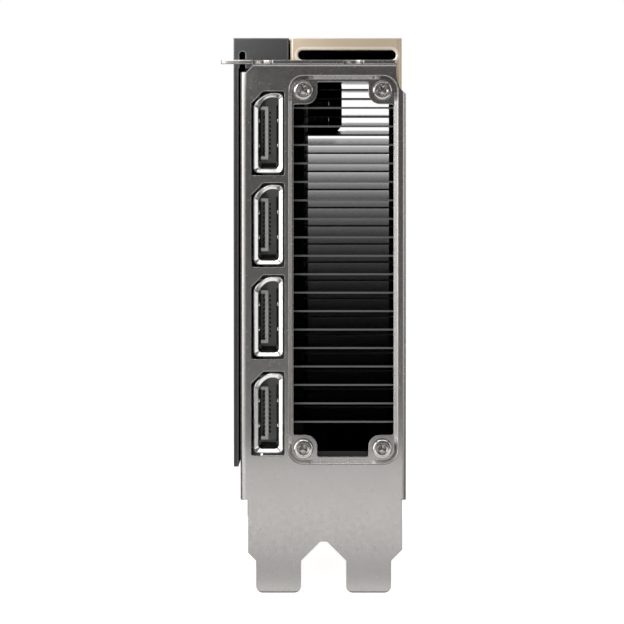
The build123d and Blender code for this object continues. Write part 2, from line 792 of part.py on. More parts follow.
def heatsink_base():
    """Base of the fins, with a pedestal on the die and posts for the cover."""
    base = side(span(BASE_Y, BASE_Z), *BASE_X)
    die_top = BOARD_FACE + SUBSTRATE_T + DIE_T
    foot = Pos(CHIP_Y, CHIP_Z) * RectangleRounded(PEDESTAL, PEDESTAL, RING_WIDTH / 2)
    base += side(foot, die_top, BASE_X[0])
    top, low = TOP_Z - SKIN, COVER_LOW + SKIN
    post_x = (BASE_X[1], BASE_X[1] + POST_HEIGHT)
    for y in POST_Y:
        post_y = (y - POST_LENGTH / 2, y + POST_LENGTH / 2)
        for z in ((top - POST_DEPTH, top), (low, low + POST_DEPTH)):
            base += side(span(post_y, z), *post_x)
    for x, y in cover_points():
        hole = Pos(x, y) * Circle(COVER_SHANK_R + HOLE_GAP)
        base -= plan(hole, top - COVER_REACH, top)
        base -= plan(hole, low, low + COVER_REACH)
    return base


def fin_outline(index, z):
    """One fin from above; long ones reach past the base, the top ones clear the socket."""
    shape = span((BASE_X[1], FIN_TIP), (SHORT_FRONT, FIN_REAR))
    if index >= FIRST_LONG and (index - FIRST_LONG) % 2 == 0:
        shape += span((BASE_X[1], FIN_TIP), (LONG_FRONT, SHORT_FRONT))
        shape += span((FIN_LEFT, FIN_TIP), (LONG_FRONT, BASE_Y[0] - HOLE_GAP))
    if z > POWER_Z[0] - FIN_PITCH / 2:
        shape -= span((BASE_X[1], POWER_NOTCH_X), (POWER_NOTCH_Y, FIN_REAR))
    return shape


def heatsink_fins():
    """Stack of thin fins along the card."""
    fins = []
    for index in range(FIN_COUNT):
        z = FIN_TOP - index * FIN_PITCH
        fins.append(plan(fin_outline(index, z), z - FIN_T / 2, z + FIN_T / 2))
    return group(fins)


# Cover
def cover_points():
    """Cover screws in X and Y, the same above and below."""
    return [(BASE_X[1] + POST_HEIGHT / 2, y) for y in POST_Y]


def end_flanges():
    """Flanges folded in at the far end, above and below the fins."""
    across = (COVER_LEFT, COVER_RIGHT - SKIN)
    above = span(across, (POWER_Z[1] + POWER_GAP, TOP_Z - SKIN))
    below = span(across, (COVER_LOW + SKIN, FIN_LOWEST - FIN_T / 2 - FIN_GAP))
    return front(above + below, END_Y - SKIN, END_Y)


def cover_front_opening():
    """Air opening of the front wall: the vent window above a ledge, wider beside the fins."""
    low, high = SCREW_Z[0] + PAD_RADIUS, SCREW_Z[1] - PAD_RADIUS
    ledge = span(WINDOW_X, (WINDOW_Z[0], WINDOW_Z[0] + COVER_LEDGE))
    return window_outline() - ledge + span((COVER_LEFT - SKIN, FIN_TIP), (low, high))


def air_cover():
    """Folded cover: front wall, top, bottom and side, open at the board and to the fins."""
    outer = span((COVER_LEFT, COVER_RIGHT), (COVER_FRONT, END_Y))
    inner = span((COVER_LEFT - SKIN, COVER_RIGHT - SKIN), (COVER_FRONT + SKIN, END_Y + SKIN))
    body = plan(outer, COVER_LOW, TOP_Z) - plan(inner, COVER_LOW + SKIN, TOP_Z - SKIN)
    upright = within(body.edges().filter_by(Axis.Z), Axis.Y, COVER_FRONT, COVER_FRONT)
    body = fillet(upright.sort_by(Axis.X)[-1], COVER_BEND)
    upright = within(body.edges().filter_by(Axis.Z), Axis.Y, COVER_FRONT, COVER_FRONT)
    body = chamfer(upright.sort_by(Axis.X)[0], SKIN / 2)
    body -= front(cover_front_opening(), COVER_FRONT, COVER_FRONT + SKIN)
    body += end_flanges()
    for x, z in screw_points():
        body += front(Pos(x, z) * Circle(BOSS_R), COVER_FRONT + SKIN, BOSS_END)
        body -= front(Pos(x, z) * Circle(BOSS_HOLE_R), COVER_FRONT, BOSS_END)
    length = CAPSULE_X[1] - CAPSULE_X[0]
    width = CAPSULE_Z[1] - CAPSULE_Z[0]
    slot = Pos(sum(CAPSULE_X) / 2, sum(CAPSULE_Z) / 2) * SlotOverall(length, width)
    body -= front(slot, COVER_FRONT, COVER_FRONT + SKIN)
    rim = within(body.edges(), Axis.Y, COVER_FRONT, COVER_FRONT)
    rim = within(within(rim, Axis.Z, *CAPSULE_Z), Axis.X, *CAPSULE_X)
    body = chamfer(rim, CAPSULE_RIM)
    seat = flat_screw_space(COVER_HEAD_R, COVER_SHANK_R, SKIN)
    for x, y in cover_points():
        body -= Pos(x, y, TOP_Z) * seat
        body -= Pos(x, y, COVER_LOW) * Rot(180, 0, 0) * seat
    return body


def flat_screw(head_r, shank_r, reach):
    """Countersunk screw along Z, head top at zero, with a cross recess."""
    cone = head_r - shank_r
    points = [(0, 0), (head_r, 0), (shank_r, -cone), (shank_r, -reach), (0, -reach)]
    body = revolve(Plane.XZ * make_face(Polyline(*points, close=True)), Axis.Z)
    return body - scale(drive_cross(), FLAT_DRIVE * head_r / PAN_HEAD_R)


def flat_screw_space(head_r, shank_r, depth):
    """Countersunk hole along Z below zero that seats a countersunk screw."""
    cone = head_r - shank_r
    wide = shank_r + HOLE_GAP
    points = [(0, 0), (head_r, 0), (wide, -cone + HOLE_GAP), (wide, -depth), (0, -depth)]
    return revolve(Plane.XZ * make_face(Polyline(*points, close=True)), Axis.Z)


def cover_screws():
    """Countersunk screws that hold the cover to the heat sink's posts."""
    screw = flat_screw(COVER_HEAD_R, COVER_SHANK_R, COVER_REACH)
    above = [Pos(x, y, TOP_Z) * screw for x, y in cover_points()]
    below = [Pos(x, y, COVER_LOW) * Rot(180, 0, 0) * screw for x, y in cover_points()]
    return group(above + below)


# Back frame
def front_lip():
    """Front lip above the tab, slit for the bracket's left flange."""
    radius = (SLIT_X[1] - SLIT_X[0]) / 2
    lip = span((PLATE_OUT, FRAME_RIGHT), (LIP_LOW, TOP_Z))
    slit = span(SLIT_X, (LIP_LOW - SKIN, SLIT_TOP - radius))
    slit += Pos(sum(SLIT_X) / 2, SLIT_TOP - radius) * Circle(radius)
    return front(lip - slit, COVER_FRONT, COVER_FRONT + LIP_T)


def rear_wall():
    """Rear wall with tapped bosses for an extender and room for the power socket."""
    wall = span((PLATE_OUT, FRAME_RIGHT), (COVER_LOW, TOP_Z))
    body = front(wall, END_Y - REAR_WALL, END_Y)
    for z in EXTENDER_Z:
        boss = Pos(EXTENDER_X, z) * Circle(EXTENDER_BOSS_R)
        body += front(boss, END_Y - EXTENDER_LENGTH, END_Y)
    for z in EXTENDER_Z:
        hole = Pos(EXTENDER_X, z) * Circle(EXTENDER_HOLE_R)
        body -= front(hole, END_Y - EXTENDER_LENGTH, END_Y)
    tall = (POWER_Z[0] - POWER_GAP, POWER_Z[1] + POWER_GAP)
    power = span((POWER_X[0] - POWER_GAP, FRAME_RIGHT), tall)
    return body - front(power, END_Y - EXTENDER_LENGTH, END_Y)


def back_frame():
    """Plate behind the board with its top edge, front lip and rear wall."""
    section = [
        (PLATE_OUT, COVER_LOW),
        (PLATE_IN, COVER_LOW),
        (PLATE_IN, TOP_Z - SKIN),
        (FRAME_RIGHT, TOP_Z - SKIN),
        (FRAME_RIGHT, TOP_Z),
        (PLATE_OUT, TOP_Z),
    ]
    radii = [0, 0, COVER_EDGE, 0, 0, COVER_EDGE]
    body = front(loop(section, radii), COVER_FRONT, END_Y)
    body += front_lip() + rear_wall()
    for point in frame_points():
        body += side(Pos(*point) * Circle(POST_R), PLATE_IN, BOARD_REAR)
    holes = Part()
    seat = Rot(0, -90, 0) * flat_screw_space(FLAT_HEAD_R, FLAT_SHANK_R, BOARD_REAR - PLATE_OUT)
    for y, z in frame_points():
        holes += Pos(PLATE_OUT, y, z) * seat
    for point in spring_points():
        holes += side(Pos(*point) * Circle(SPRING_HEAD_R + BOARD_GAP), PLATE_OUT, PLATE_IN)
    return body - holes


def frame_screws():
    """Countersunk screws from the back frame through the board to the heat plate."""
    screw = Rot(0, -90, 0) * flat_screw(FLAT_HEAD_R, FLAT_SHANK_R, FLAT_REACH)
    return group([Pos(PLATE_OUT, y, z) * screw for y, z in frame_points()])


def spring_plate():
    """Crossed leaf spring behind the board that pulls the heat sink to the die."""
    reach = SPRING_REACH * 2 ** 0.5
    leaf = Rot(0, 0, 45) * Rectangle(2 * reach, SPRING_ARM)
    leaf += Rot(0, 0, -45) * Rectangle(2 * reach, SPRING_ARM)
    leaf = Pos(CHIP_Y, CHIP_Z) * leaf
    feet = Sketch()
    holes = Sketch()
    for point in spring_points():
        leaf += Pos(*point) * Circle(SPRING_END_R)
        feet += Pos(*point) * Circle(POST_R)
        holes += Pos(*point) * Circle(SPRING_SHANK_R + HOLE_GAP)
    foot_x = BOARD_REAR - SPRING_FOOT
    body = side(leaf, foot_x - SPRING_T, foot_x) + side(feet, foot_x, BOARD_REAR)
    return body - side(holes, foot_x - SPRING_T, BOARD_REAR)


def spring_screws():
    """Screws that draw the spring plate to the heat plate."""
    seat = BOARD_REAR - SPRING_FOOT - SPRING_T
    head = Circle(SPRING_HEAD_R)
    screw = side(head, seat - SPRING_HEAD_H, seat) + side(Circle(SPRING_SHANK_R), seat, HEAT_UNDER)
    cross = Rot(0, -90, 0) * drive_cross()
    screw -= Pos(seat - SPRING_HEAD_H, 0, 0) * cross
    return group([Pos(0, y, z) * screw for y, z in spring_points()])


# Power socket
def power_housing():
    """Moulded socket with two rows of cavities and a latch channel."""
    x0, x1 = POWER_X
    z0, z1 = POWER_Z
    points = [(x0, z0), (x1, z0), (x1, z1), (x0, z1)]
    body = front(loop(points, [0, POWER_ROUND, POWER_ROUND, 0]), *POWER_Y)
    cavities = Sketch()
    pins = Sketch()
    for x, z, _ in pin_points():
        cavities += Pos(x, z) * Rectangle(POWER_CAVITY, POWER_CAVITY)
        pins += Pos(x, z) * Rectangle(PIN, PIN)
    mouth = POWER_Y[1] - POWER_CAVITY_DEPTH
    body -= front(cavities, mouth, POWER_Y[1])
    body -= front(span(LATCH_X, LATCH_Z), POWER_Y[1] - LATCH_DEPTH, POWER_Y[1])
    return body - front(pins, POWER_Y[0], mouth)


def power_terminals():
    """Bent pins from the socket's cavities down through the board."""
    half = PIN / 2
    pins = []
    for x, z, turn in pin_points():
        path = FilletPolyline((x, PIN_TIP_Y), (x, turn), (PIN_FOOT, turn), radius=PIN)
        pins.append(plan(trace(path, PIN), z - half, z + half))
    return group(pins)


# Every part by name
def all_parts():
    """Named parts of the card."""
    die_top = BOARD_FACE + SUBSTRATE_T + DIE_T
    coil_top = BOARD_FACE + COIL_T
    stage_top = BOARD_FACE + STAGE_T
    chip_top = BOARD_FACE + MEMORY_T
    rear_top = BOARD_REAR - MEMORY_T
    parts = {
        "io_bracket": io_bracket(),
        "bracket_screws": bracket_screws(),
        "main_board": main_board(),
        "edge_contacts": edge_contacts(),
        "gpu_substrate": gpu_substrate(),
        "gpu_die": gpu_die(),
        "gpu_stiffener": gpu_stiffener(),
        "memory_chips_front": memory_layer(BOARD_FACE, chip_top),
        "memory_pads_front": memory_layer(chip_top, HEAT_UNDER),
        "memory_chips_rear": memory_layer(rear_top, BOARD_REAR),
        "memory_pads_rear": memory_layer(PLATE_IN, rear_top),
        "power_stages": phase_layer(STAGE, STAGE_Y, BOARD_FACE, stage_top),
        "power_stage_pads": phase_layer(STAGE, STAGE_Y, stage_top, HEAT_UNDER),
        "inductors": phase_layer((COIL, COIL), COIL_Y, BOARD_FACE, coil_top, COIL_CORNER),
        "inductor_pads": phase_layer((COIL, COIL), COIL_Y, coil_top, HEAT_UNDER + COIL_POCKET),
        "capacitors": phase_layer(CAPACITOR, CAPACITOR_Y, BOARD_FACE, BOARD_FACE + CAPACITOR_T),
        "control_chips": control_chips(),
        "heat_plate": heat_plate(),
        "heatsink_base": heatsink_base(),
        "heatsink_fins": heatsink_fins(),
        "air_cover": air_cover(),
        "cover_screws": cover_screws(),
        "back_frame": back_frame(),
        "frame_screws": frame_screws(),
        "spring_plate": spring_plate(),
        "spring_screws": spring_screws(),
        "power_housing": power_housing(),
        "power_terminals": power_terminals(),
    }
    for number, z in enumerate(PORT_Z, 1):
        place = Pos(PORT_X, 0, z)
        parts[f"port_shell_{number}"] = place * port_shell()
        parts[f"port_insert_{number}"] = place * port_insert()
        parts[f"port_contacts_{number}"] = place * port_contacts()
    return parts


os.makedirs("parts", exist_ok=True)
for name, shape in all_parts().items():
    export_step(shape, f"parts/{name}.step")
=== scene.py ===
import json
import logging
import math
from collections.abc import Callable, Iterable
from contextlib import contextmanager
from dataclasses import dataclass
from enum import Enum

import bmesh
import bpy
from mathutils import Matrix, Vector


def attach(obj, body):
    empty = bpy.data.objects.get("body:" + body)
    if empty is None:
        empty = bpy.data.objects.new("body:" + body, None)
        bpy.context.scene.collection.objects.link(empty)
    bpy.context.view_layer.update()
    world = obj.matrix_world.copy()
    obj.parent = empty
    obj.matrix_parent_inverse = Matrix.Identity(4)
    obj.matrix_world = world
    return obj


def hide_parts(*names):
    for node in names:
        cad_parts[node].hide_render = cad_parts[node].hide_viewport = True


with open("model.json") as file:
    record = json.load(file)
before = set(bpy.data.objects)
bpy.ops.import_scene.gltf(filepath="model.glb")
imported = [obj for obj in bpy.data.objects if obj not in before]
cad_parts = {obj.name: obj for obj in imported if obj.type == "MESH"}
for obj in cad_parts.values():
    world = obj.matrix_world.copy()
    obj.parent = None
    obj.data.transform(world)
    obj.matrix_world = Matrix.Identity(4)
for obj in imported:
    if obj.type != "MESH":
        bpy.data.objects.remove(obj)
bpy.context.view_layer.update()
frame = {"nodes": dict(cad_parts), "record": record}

log = logging.getLogger("card")
MM = 0.001
ROOT = "root"


def mm(*values: float) -> tuple[float, ...]:
    """Millimetres as metres."""
    return tuple(value * MM for value in values)


# Finishes
class Relief(Enum):
    """Kinds of fine surface relief."""

    GRAIN = "grain"
    ORANGE_PEEL = "orange_peel"
    ROLLED = "rolled"


class NodeDesk:
    """Node tree of one new material, with short ways to add and join nodes."""

    def __init__(self, name: str) -> None:
        """Start a material with an empty tree and an output."""
        self.material = bpy.data.materials.new(name)
        self.material.use_nodes = True
        self.tree = self.material.node_tree
        self.tree.nodes.clear()
        self.output = self.tree.nodes.new("ShaderNodeOutputMaterial")

    def add(self, kind: str, **values: object) -> bpy.types.Node:
        """Add a node.

        Args:
            kind: Blender's node type without its common start.
            values: Plain properties, or input sockets by name with underscores.

        Returns:
            The new node.
        """
        node = self.tree.nodes.new("ShaderNode" + kind)
        for key, value in values.items():
            if hasattr(node, key):
                setattr(node, key, value)
            else:
                node.inputs[key.replace("_", " ")].default_value = value
        return node

    @classmethod
    def reopen(cls, material: bpy.types.Material) -> "NodeDesk":
        """Desk of a material that is already made."""
        desk = cls.__new__(cls)
        desk.material, desk.tree = material, material.node_tree
        desk.output = desk.find("OUTPUT_MATERIAL")
        return desk

    def find(self, kind: str) -> bpy.types.Node:
        """First node of one type."""
        return next(node for node in self.tree.nodes if node.type == kind)

    def join(self, source: bpy.types.NodeSocket, target: bpy.types.NodeSocket) -> None:
        """Link an output socket to an input socket."""
        self.tree.links.new(source, target)


@dataclass(frozen=True)
class Finish:
    """Finish of one material of the card.

    The colour wanders between two shades over broad patches, the roughness wanders over finer
    ones, and a fine relief breaks up the highlights. Edges are softened in the shader; where an edge
    highlight width is set, they also get a painted highlight in a paler colour.
    """

    name: str
    color: tuple[float, float, float]
    shade: tuple[float, float, float]
    metallic: float = 0.0
    roughness: float = 0.5
    rough_range: float = 0.06
    specular: float = 0.5
    patch_mm: float = 18.0
    relief: Relief = Relief.GRAIN
    relief_mm: float = 0.35
    relief_depth_mm: float = 0.01
    edge_mm: float = 0.08
    coat: float = 0.0
    stretch: tuple[float, float, float] = (1.0, 1.0, 1.0)
    # Width and colour of a painted highlight along sharp edges; no width, no highlight.
    edge_highlight_mm: float = 0.0
    highlight_tint: tuple[float, float, float] = (1.0, 1.0, 1.0)

    def pattern(self, desk: NodeDesk, size_mm: float, detail: float) -> bpy.types.Node:
        """Noise on object coordinates.

        Args:
            desk: Tree that the nodes go into.
            size_mm: Size of the pattern's features.
            detail: Octaves of the noise.

        Returns:
            The noise node.
        """
        place = desk.add("TexCoord")
        mapping = desk.add("Mapping")
        mapping.inputs["Scale"].default_value = self.stretch
        noise = desk.add("TexNoise", Scale=1 / (size_mm * MM), Detail=detail, Roughness=0.55)
        desk.join(place.outputs["Object"], mapping.inputs["Vector"])
        desk.join(mapping.outputs["Vector"], noise.inputs["Vector"])
        return noise

    def height(self, desk: NodeDesk) -> bpy.types.NodeSocket:
        """Fine relief of this finish as a height socket."""
        if self.relief is Relief.ORANGE_PEEL:
            cells = desk.add("TexVoronoi", Scale=1 / (self.relief_mm * MM))
            cells.feature = "SMOOTH_F1"
            place = desk.add("TexCoord")
            desk.join(place.outputs["Object"], cells.inputs["Vector"])
            return cells.outputs["Distance"]
        detail = 2.0 if self.relief is Relief.ROLLED else 5.0
        return self.pattern(desk, self.relief_mm, detail).outputs["Fac"]

    def paint_highlights(self, desk: NodeDesk, paint: bpy.types.NodeSocket) -> bpy.types.NodeSocket:
        """Paler colour along sharp edges: a painted highlight where the edges catch the light.

        Args:
            desk: Tree that the nodes go into.
            paint: Colour away from the edges.

        Returns:
            The colour with the painted edge highlight.
        """
        flat = desk.add("NewGeometry")
        soft = desk.add("Bevel", samples=8)
        soft.inputs["Radius"].default_value = self.edge_highlight_mm * MM
        turned = desk.add("VectorMath", operation="DOT_PRODUCT")
        near = desk.add("MapRange")
        near.inputs["From Min"].default_value = 0.995
        near.inputs["From Max"].default_value = 0.9
        pale = desk.add("Mix", data_type="RGBA")
        pale.inputs[7].default_value = (*self.highlight_tint, 1.0)
        desk.join(flat.outputs["Normal"], turned.inputs[0])
        desk.join(soft.outputs["Normal"], turned.inputs[1])
        desk.join(turned.outputs["Value"], near.inputs["Value"])
        desk.join(near.outputs["Result"], pale.inputs[0])
        desk.join(paint, pale.inputs[6])
        return pale.outputs[2]

    def build(self) -> bpy.types.Material:
        """Make the material."""
        desk = NodeDesk(self.name)
        shader = desk.add("BsdfPrincipled")
        shader.inputs["Metallic"].default_value = self.metallic
        shader.inputs["Specular IOR Level"].default_value = self.specular
        shader.inputs["Coat Weight"].default_value = self.coat
        shader.inputs["Coat Roughness"].default_value = 0.2

        patches = self.pattern(desk, self.patch_mm, 3.0)
        blend = desk.add("Mix", data_type="RGBA")
        blend.inputs[6].default_value = (*self.color, 1.0)
        blend.inputs[7].default_value = (*self.shade, 1.0)
        desk.join(patches.outputs["Fac"], blend.inputs[0])
        # Pale edges here are a painted highlight.
        paint = self.paint_highlights(desk, blend.outputs[2]) if self.edge_highlight_mm else blend.outputs[2]
        desk.join(paint, shader.inputs["Base Color"])

        wander = self.pattern(desk, self.patch_mm / 6, 4.0)
        span = desk.add("MapRange")
        span.inputs["From Min"].default_value = 0.3
        span.inputs["From Max"].default_value = 0.7
        span.inputs["To Min"].default_value = max(0.03, self.roughness - self.rough_range)
        span.inputs["To Max"].default_value = min(1.0, self.roughness + self.rough_range)
        desk.join(wander.outputs["Fac"], span.inputs["Value"])
        desk.join(span.outputs["Result"], shader.inputs["Roughness"])

        soft = desk.add("Bevel", samples=8)
        soft.inputs["Radius"].default_value = self.edge_mm * MM
        bump = desk.add("Bump", Strength=1.0)
        bump.inputs["Distance"].default_value = self.relief_depth_mm * MM
        desk.join(self.height(desk), bump.inputs["Height"])
        desk.join(soft.outputs["Normal"], bump.inputs["Normal"])
        desk.join(bump.outputs["Normal"], shader.inputs["Normal"])
        desk.join(shader.outputs["BSDF"], desk.output.inputs["Surface"])
        return desk.material


@dataclass(frozen=True)
class BoardFinish:
    """Dark solder mask over copper tracks."""

    name: str = "board_laminate"
    mask: tuple[float, float, float] = (0.012, 0.022, 0.018)
    track: tuple[float, float, float] = (0.022, 0.040, 0.032)
    track_mm: float = 1.1

    def build(self) -> bpy.types.Material:
        """Make the material."""
        desk = NodeDesk(self.name)
        shader = desk.add("BsdfPrincipled", Roughness=0.38)
        shader.inputs["Specular IOR Level"].default_value = 0.45
        place = desk.add("TexCoord")
        cells = desk.add("TexVoronoi", Scale=1 / (self.track_mm * 4 * MM))
        cells.distance = "MANHATTAN"
        cells.feature = "F1"
        lines = desk.add("TexWave", Scale=1 / (self.track_mm * 6 * MM), Distortion=3.0)
        mixed = desk.add("Math", operation="MULTIPLY")
        edge = desk.add("MapRange")
        edge.inputs["From Min"].default_value = 0.25
        edge.inputs["From Max"].default_value = 0.30
        blend = desk.add("Mix", data_type="RGBA")
        blend.inputs[6].default_value = (*self.mask, 1.0)
        blend.inputs[7].default_value = (*self.track, 1.0)
        bump = desk.add("Bump", Strength=1.0)
        bump.inputs["Distance"].default_value = 0.02 * MM
        for node in (cells, lines):
            desk.join(place.outputs["Object"], node.inputs["Vector"])
        desk.join(cells.outputs["Distance"], mixed.inputs[0])
        desk.join(lines.outputs["Fac"], mixed.inputs[1])
        desk.join(mixed.outputs["Value"], edge.inputs["Value"])
        desk.join(edge.outputs["Result"], blend.inputs[0])
        desk.join(edge.outputs["Result"], bump.inputs["Height"])
        desk.join(blend.outputs[2], shader.inputs["Base Color"])
        desk.join(bump.outputs["Normal"], shader.inputs["Normal"])
        desk.join(shader.outputs["BSDF"], desk.output.inputs["Surface"])
        return desk.material


@dataclass(frozen=True)
class FinFinish:
    """Bright rolled sheet with matt sheared edges; seen at a grazing angle the faces turn
    near-black, a painted shade between the fins.
    """

    name: str = "fin_aluminium"
    color: tuple[float, float, float] = (0.55, 0.55, 0.55)
    edge_color: tuple[float, float, float] = (0.26, 0.26, 0.26)
    # Near-black colour that the faces turn to at grazing angles: painted shade between the fins.
    grazing_shade: tuple[float, float, float] = (0.008, 0.008, 0.008)
    grazing_shade_stops: tuple[tuple[float, float], ...] = ((0.6, 0.0), (0.94, 0.9), (0.97, 0.75), (1.0, 0.4))
    face_roughness: float = 0.06
    edge_roughness: float = 0.55
    streak_mm: float = 2.5

    def build(self) -> bpy.types.Material:
        """Make the material."""
        desk = NodeDesk(self.name)
        shader = desk.add("BsdfPrincipled", Metallic=1.0)
        place = desk.add("TexCoord")
        parts = desk.add("SeparateXYZ")
        size = desk.add("Math", operation="ABSOLUTE")
        edge = desk.add("Math", operation="GREATER_THAN")
        edge.inputs[1].default_value = 0.7
        stretch = desk.add("Mapping")
        stretch.inputs["Scale"].default_value = (1.0, 0.05, 1.0)
        streaks = desk.add("TexNoise", Scale=1 / (self.streak_mm * MM), Detail=3.0)
        tint = desk.add("Mix", data_type="RGBA")
        tint.inputs[6].default_value = (*self.color, 1.0)
        tint.inputs[7].default_value = (*(0.9 * part for part in self.color), 1.0)
        blend = desk.add("Mix", data_type="RGBA")
        blend.inputs[7].default_value = (*self.edge_color, 1.0)
        rough = desk.add("MapRange")
        rough.inputs["To Min"].default_value = self.face_roughness
        rough.inputs["To Max"].default_value = self.edge_roughness
        desk.join(place.outputs["Normal"], parts.inputs["Vector"])
        desk.join(parts.outputs["Y"], size.inputs[0])
        desk.join(size.outputs["Value"], edge.inputs[0])
        desk.join(place.outputs["Object"], stretch.inputs["Vector"])
        desk.join(stretch.outputs["Vector"], streaks.inputs["Vector"])
        desk.join(streaks.outputs["Fac"], tint.inputs[0])
        desk.join(edge.outputs["Value"], blend.inputs[0])
        desk.join(tint.outputs[2], blend.inputs[6])
        desk.join(blend.outputs[2], shader.inputs["Base Color"])
        desk.join(edge.outputs["Value"], rough.inputs["Value"])
        desk.join(rough.outputs["Result"], shader.inputs["Roughness"])
        # Mix towards the near-black colour as the view grazes the face: painted shade.
        slant = desk.add("LayerWeight", Blend=0.5)
        share = desk.add("ValToRGB")
        stops = share.color_ramp.elements
        while len(stops) < len(self.grazing_shade_stops):
            stops.new(0.5)
        for stop, (place_at, amount) in zip(stops, self.grazing_shade_stops):
            stop.position, stop.color = place_at, (amount, amount, amount, 1.0)
        shade_layer = desk.add("BsdfDiffuse", Color=(*self.grazing_shade, 1.0))
        mixed = desk.add("MixShader")
        desk.join(slant.outputs["Facing"], share.inputs["Fac"])
        desk.join(share.outputs["Color"], mixed.inputs[0])
        desk.join(shader.outputs["BSDF"], mixed.inputs[1])
        desk.join(shade_layer.outputs["BSDF"], mixed.inputs[2])
        desk.join(mixed.outputs["Shader"], desk.output.inputs["Surface"])
        return desk.material


@dataclass(frozen=True)
class CoverFinish(Finish):
    """Satin coat outside; inside and on the front wall behind the bracket, a near-black matt colour
    paints the shade that falls there.

    A paler band around the slot is a painted highlight on the slot's rim.
    """

    middle: tuple[float, float, float] = (8.0, 140.0, -42.0)
    slot_x: tuple[float, float] = (-1.24, 18.62)
    slot_z: float = 2.07
    # Distances from the slot's middle line at which the painted highlight is full and gone.
    rim_highlight_mm: tuple[float, float] = (1.65, 2.0)
    # The front wall lower than this, behind the bracket, gets the painted shade.
    shade_below_z: float = -7.0
    seat_y: float = 10.2
    # Near-black matt colour of the painted shade inside the cover and behind the bracket.
    inside: tuple[float, float, float] = (0.018, 0.018, 0.018)
    inside_metallic: float = 0.0
    inside_roughness: float = 0.9

    def paint_highlights(self, desk: NodeDesk, paint: bpy.types.NodeSocket) -> bpy.types.NodeSocket:
        """Painted highlights: pale edges, and the pale band around the slot.

        Args:
            desk: Tree that the nodes go into.
            paint: Colour away from the edges.

        Returns:
            The colour with its painted highlights on the edges and around the slot.
        """
        place = desk.add("TexCoord")
        spot = desk.add("SeparateXYZ")
        end = desk.add("Clamp", Min=self.slot_x[0] * MM, Max=self.slot_x[1] * MM)
        aside = desk.add("Math", operation="SUBTRACT")
        above = desk.add("Math", operation="SUBTRACT")
        above.inputs[1].default_value = self.slot_z * MM
        away = desk.add("CombineXYZ")
        far = desk.add("VectorMath", operation="LENGTH")
        # Painted highlight around the slot, on the front wall only.
        rim_highlight = desk.add("MapRange")
        rim_highlight.inputs["From Min"].default_value = self.rim_highlight_mm[1] * MM
        rim_highlight.inputs["From Max"].default_value = self.rim_highlight_mm[0] * MM
        front = desk.add("Math", operation="LESS_THAN")
        front.inputs[1].default_value = self.seat_y * MM
        there = desk.add("Math", operation="MULTIPLY")
        pale = desk.add("Mix", data_type="RGBA")
        pale.inputs[7].default_value = (*self.highlight_tint, 1.0)
        desk.join(place.outputs["Object"], spot.inputs["Vector"])
        desk.join(spot.outputs["Y"], front.inputs[0])
        desk.join(rim_highlight.outputs["Result"], there.inputs[0])
        desk.join(front.outputs["Value"], there.inputs[1])
        desk.join(spot.outputs["X"], end.inputs["Value"])
        desk.join(spot.outputs["X"], aside.inputs[0])
        desk.join(end.outputs["Result"], aside.inputs[1])
        desk.join(spot.outputs["Z"], above.inputs[0])
        desk.join(aside.outputs["Value"], away.inputs["X"])
        desk.join(above.outputs["Value"], away.inputs["Z"])
        desk.join(away.outputs["Vector"], far.inputs[0])
        desk.join(far.outputs["Value"], rim_highlight.inputs["Value"])
        desk.join(there.outputs["Value"], pale.inputs[0])
        desk.join(super().paint_highlights(desk, paint), pale.inputs[6])
        return pale.outputs[2]

    def build(self) -> bpy.types.Material:
        """Make the material."""
        material = super().build()
        desk = NodeDesk.reopen(material)
        shader = desk.find("BSDF_PRINCIPLED")
        # Faces turned inwards, and the front wall behind the bracket, get a near-black matt colour:
        # painted shade.
        place = desk.add("TexCoord")
        offset = desk.add("VectorMath", operation="SUBTRACT")
        offset.inputs[1].default_value = mm(*self.middle)
        facing = desk.add("VectorMath", operation="DOT_PRODUCT")
        inward = desk.add("Math", operation="LESS_THAN")
        inward.inputs[1].default_value = 0.0
        blend = desk.add("Mix", data_type="RGBA")
        blend.inputs[7].default_value = (*self.inside, 1.0)
        metal = desk.add("MapRange")
        metal.inputs["To Min"].default_value = self.metallic
        metal.inputs["To Max"].default_value = self.inside_metallic
        parts = desk.add("SeparateXYZ")
        low = desk.add("Math", operation="LESS_THAN")
        low.inputs[1].default_value = self.shade_below_z * MM
        front = desk.add("Math", operation="LESS_THAN")
        front.inputs[1].default_value = self.seat_y * MM
        shade_behind_bracket = desk.add("Math", operation="MULTIPLY")
        painted_shade = desk.add("Math", operation="MAXIMUM")
        desk.join(place.outputs["Object"], parts.inputs["Vector"])
        desk.join(parts.outputs["Z"], low.inputs[0])
        desk.join(parts.outputs["Y"], front.inputs[0])
        desk.join(low.outputs["Value"], shade_behind_bracket.inputs[0])
        desk.join(front.outputs["Value"], shade_behind_bracket.inputs[1])
        desk.join(inward.outputs["Value"], painted_shade.inputs[0])
        desk.join(shade_behind_bracket.outputs["Value"], painted_shade.inputs[1])
        paint = shader.inputs["Base Color"].links[0].from_socket
        gloss = shader.inputs["Roughness"].links[0].from_socket
        rough = desk.add("Mix", data_type="FLOAT")
        rough.inputs[3].default_value = self.inside_roughness
        desk.join(painted_shade.outputs["Value"], rough.inputs[0])
        desk.join(gloss, rough.inputs[2])
        desk.join(rough.outputs[0], shader.inputs["Roughness"])
        desk.join(place.outputs["Object"], offset.inputs[0])
        desk.join(offset.outputs["Vector"], facing.inputs[0])
        desk.join(place.outputs["Normal"], facing.inputs[1])
        desk.join(facing.outputs["Value"], inward.inputs[0])
        desk.join(painted_shade.outputs["Value"], blend.inputs[0])
        desk.join(paint, blend.inputs[6])
        desk.join(blend.outputs[2], shader.inputs["Base Color"])
        desk.join(painted_shade.outputs["Value"], metal.inputs["Value"])
        desk.join(metal.outputs["Result"], shader.inputs["Metallic"])
        return material


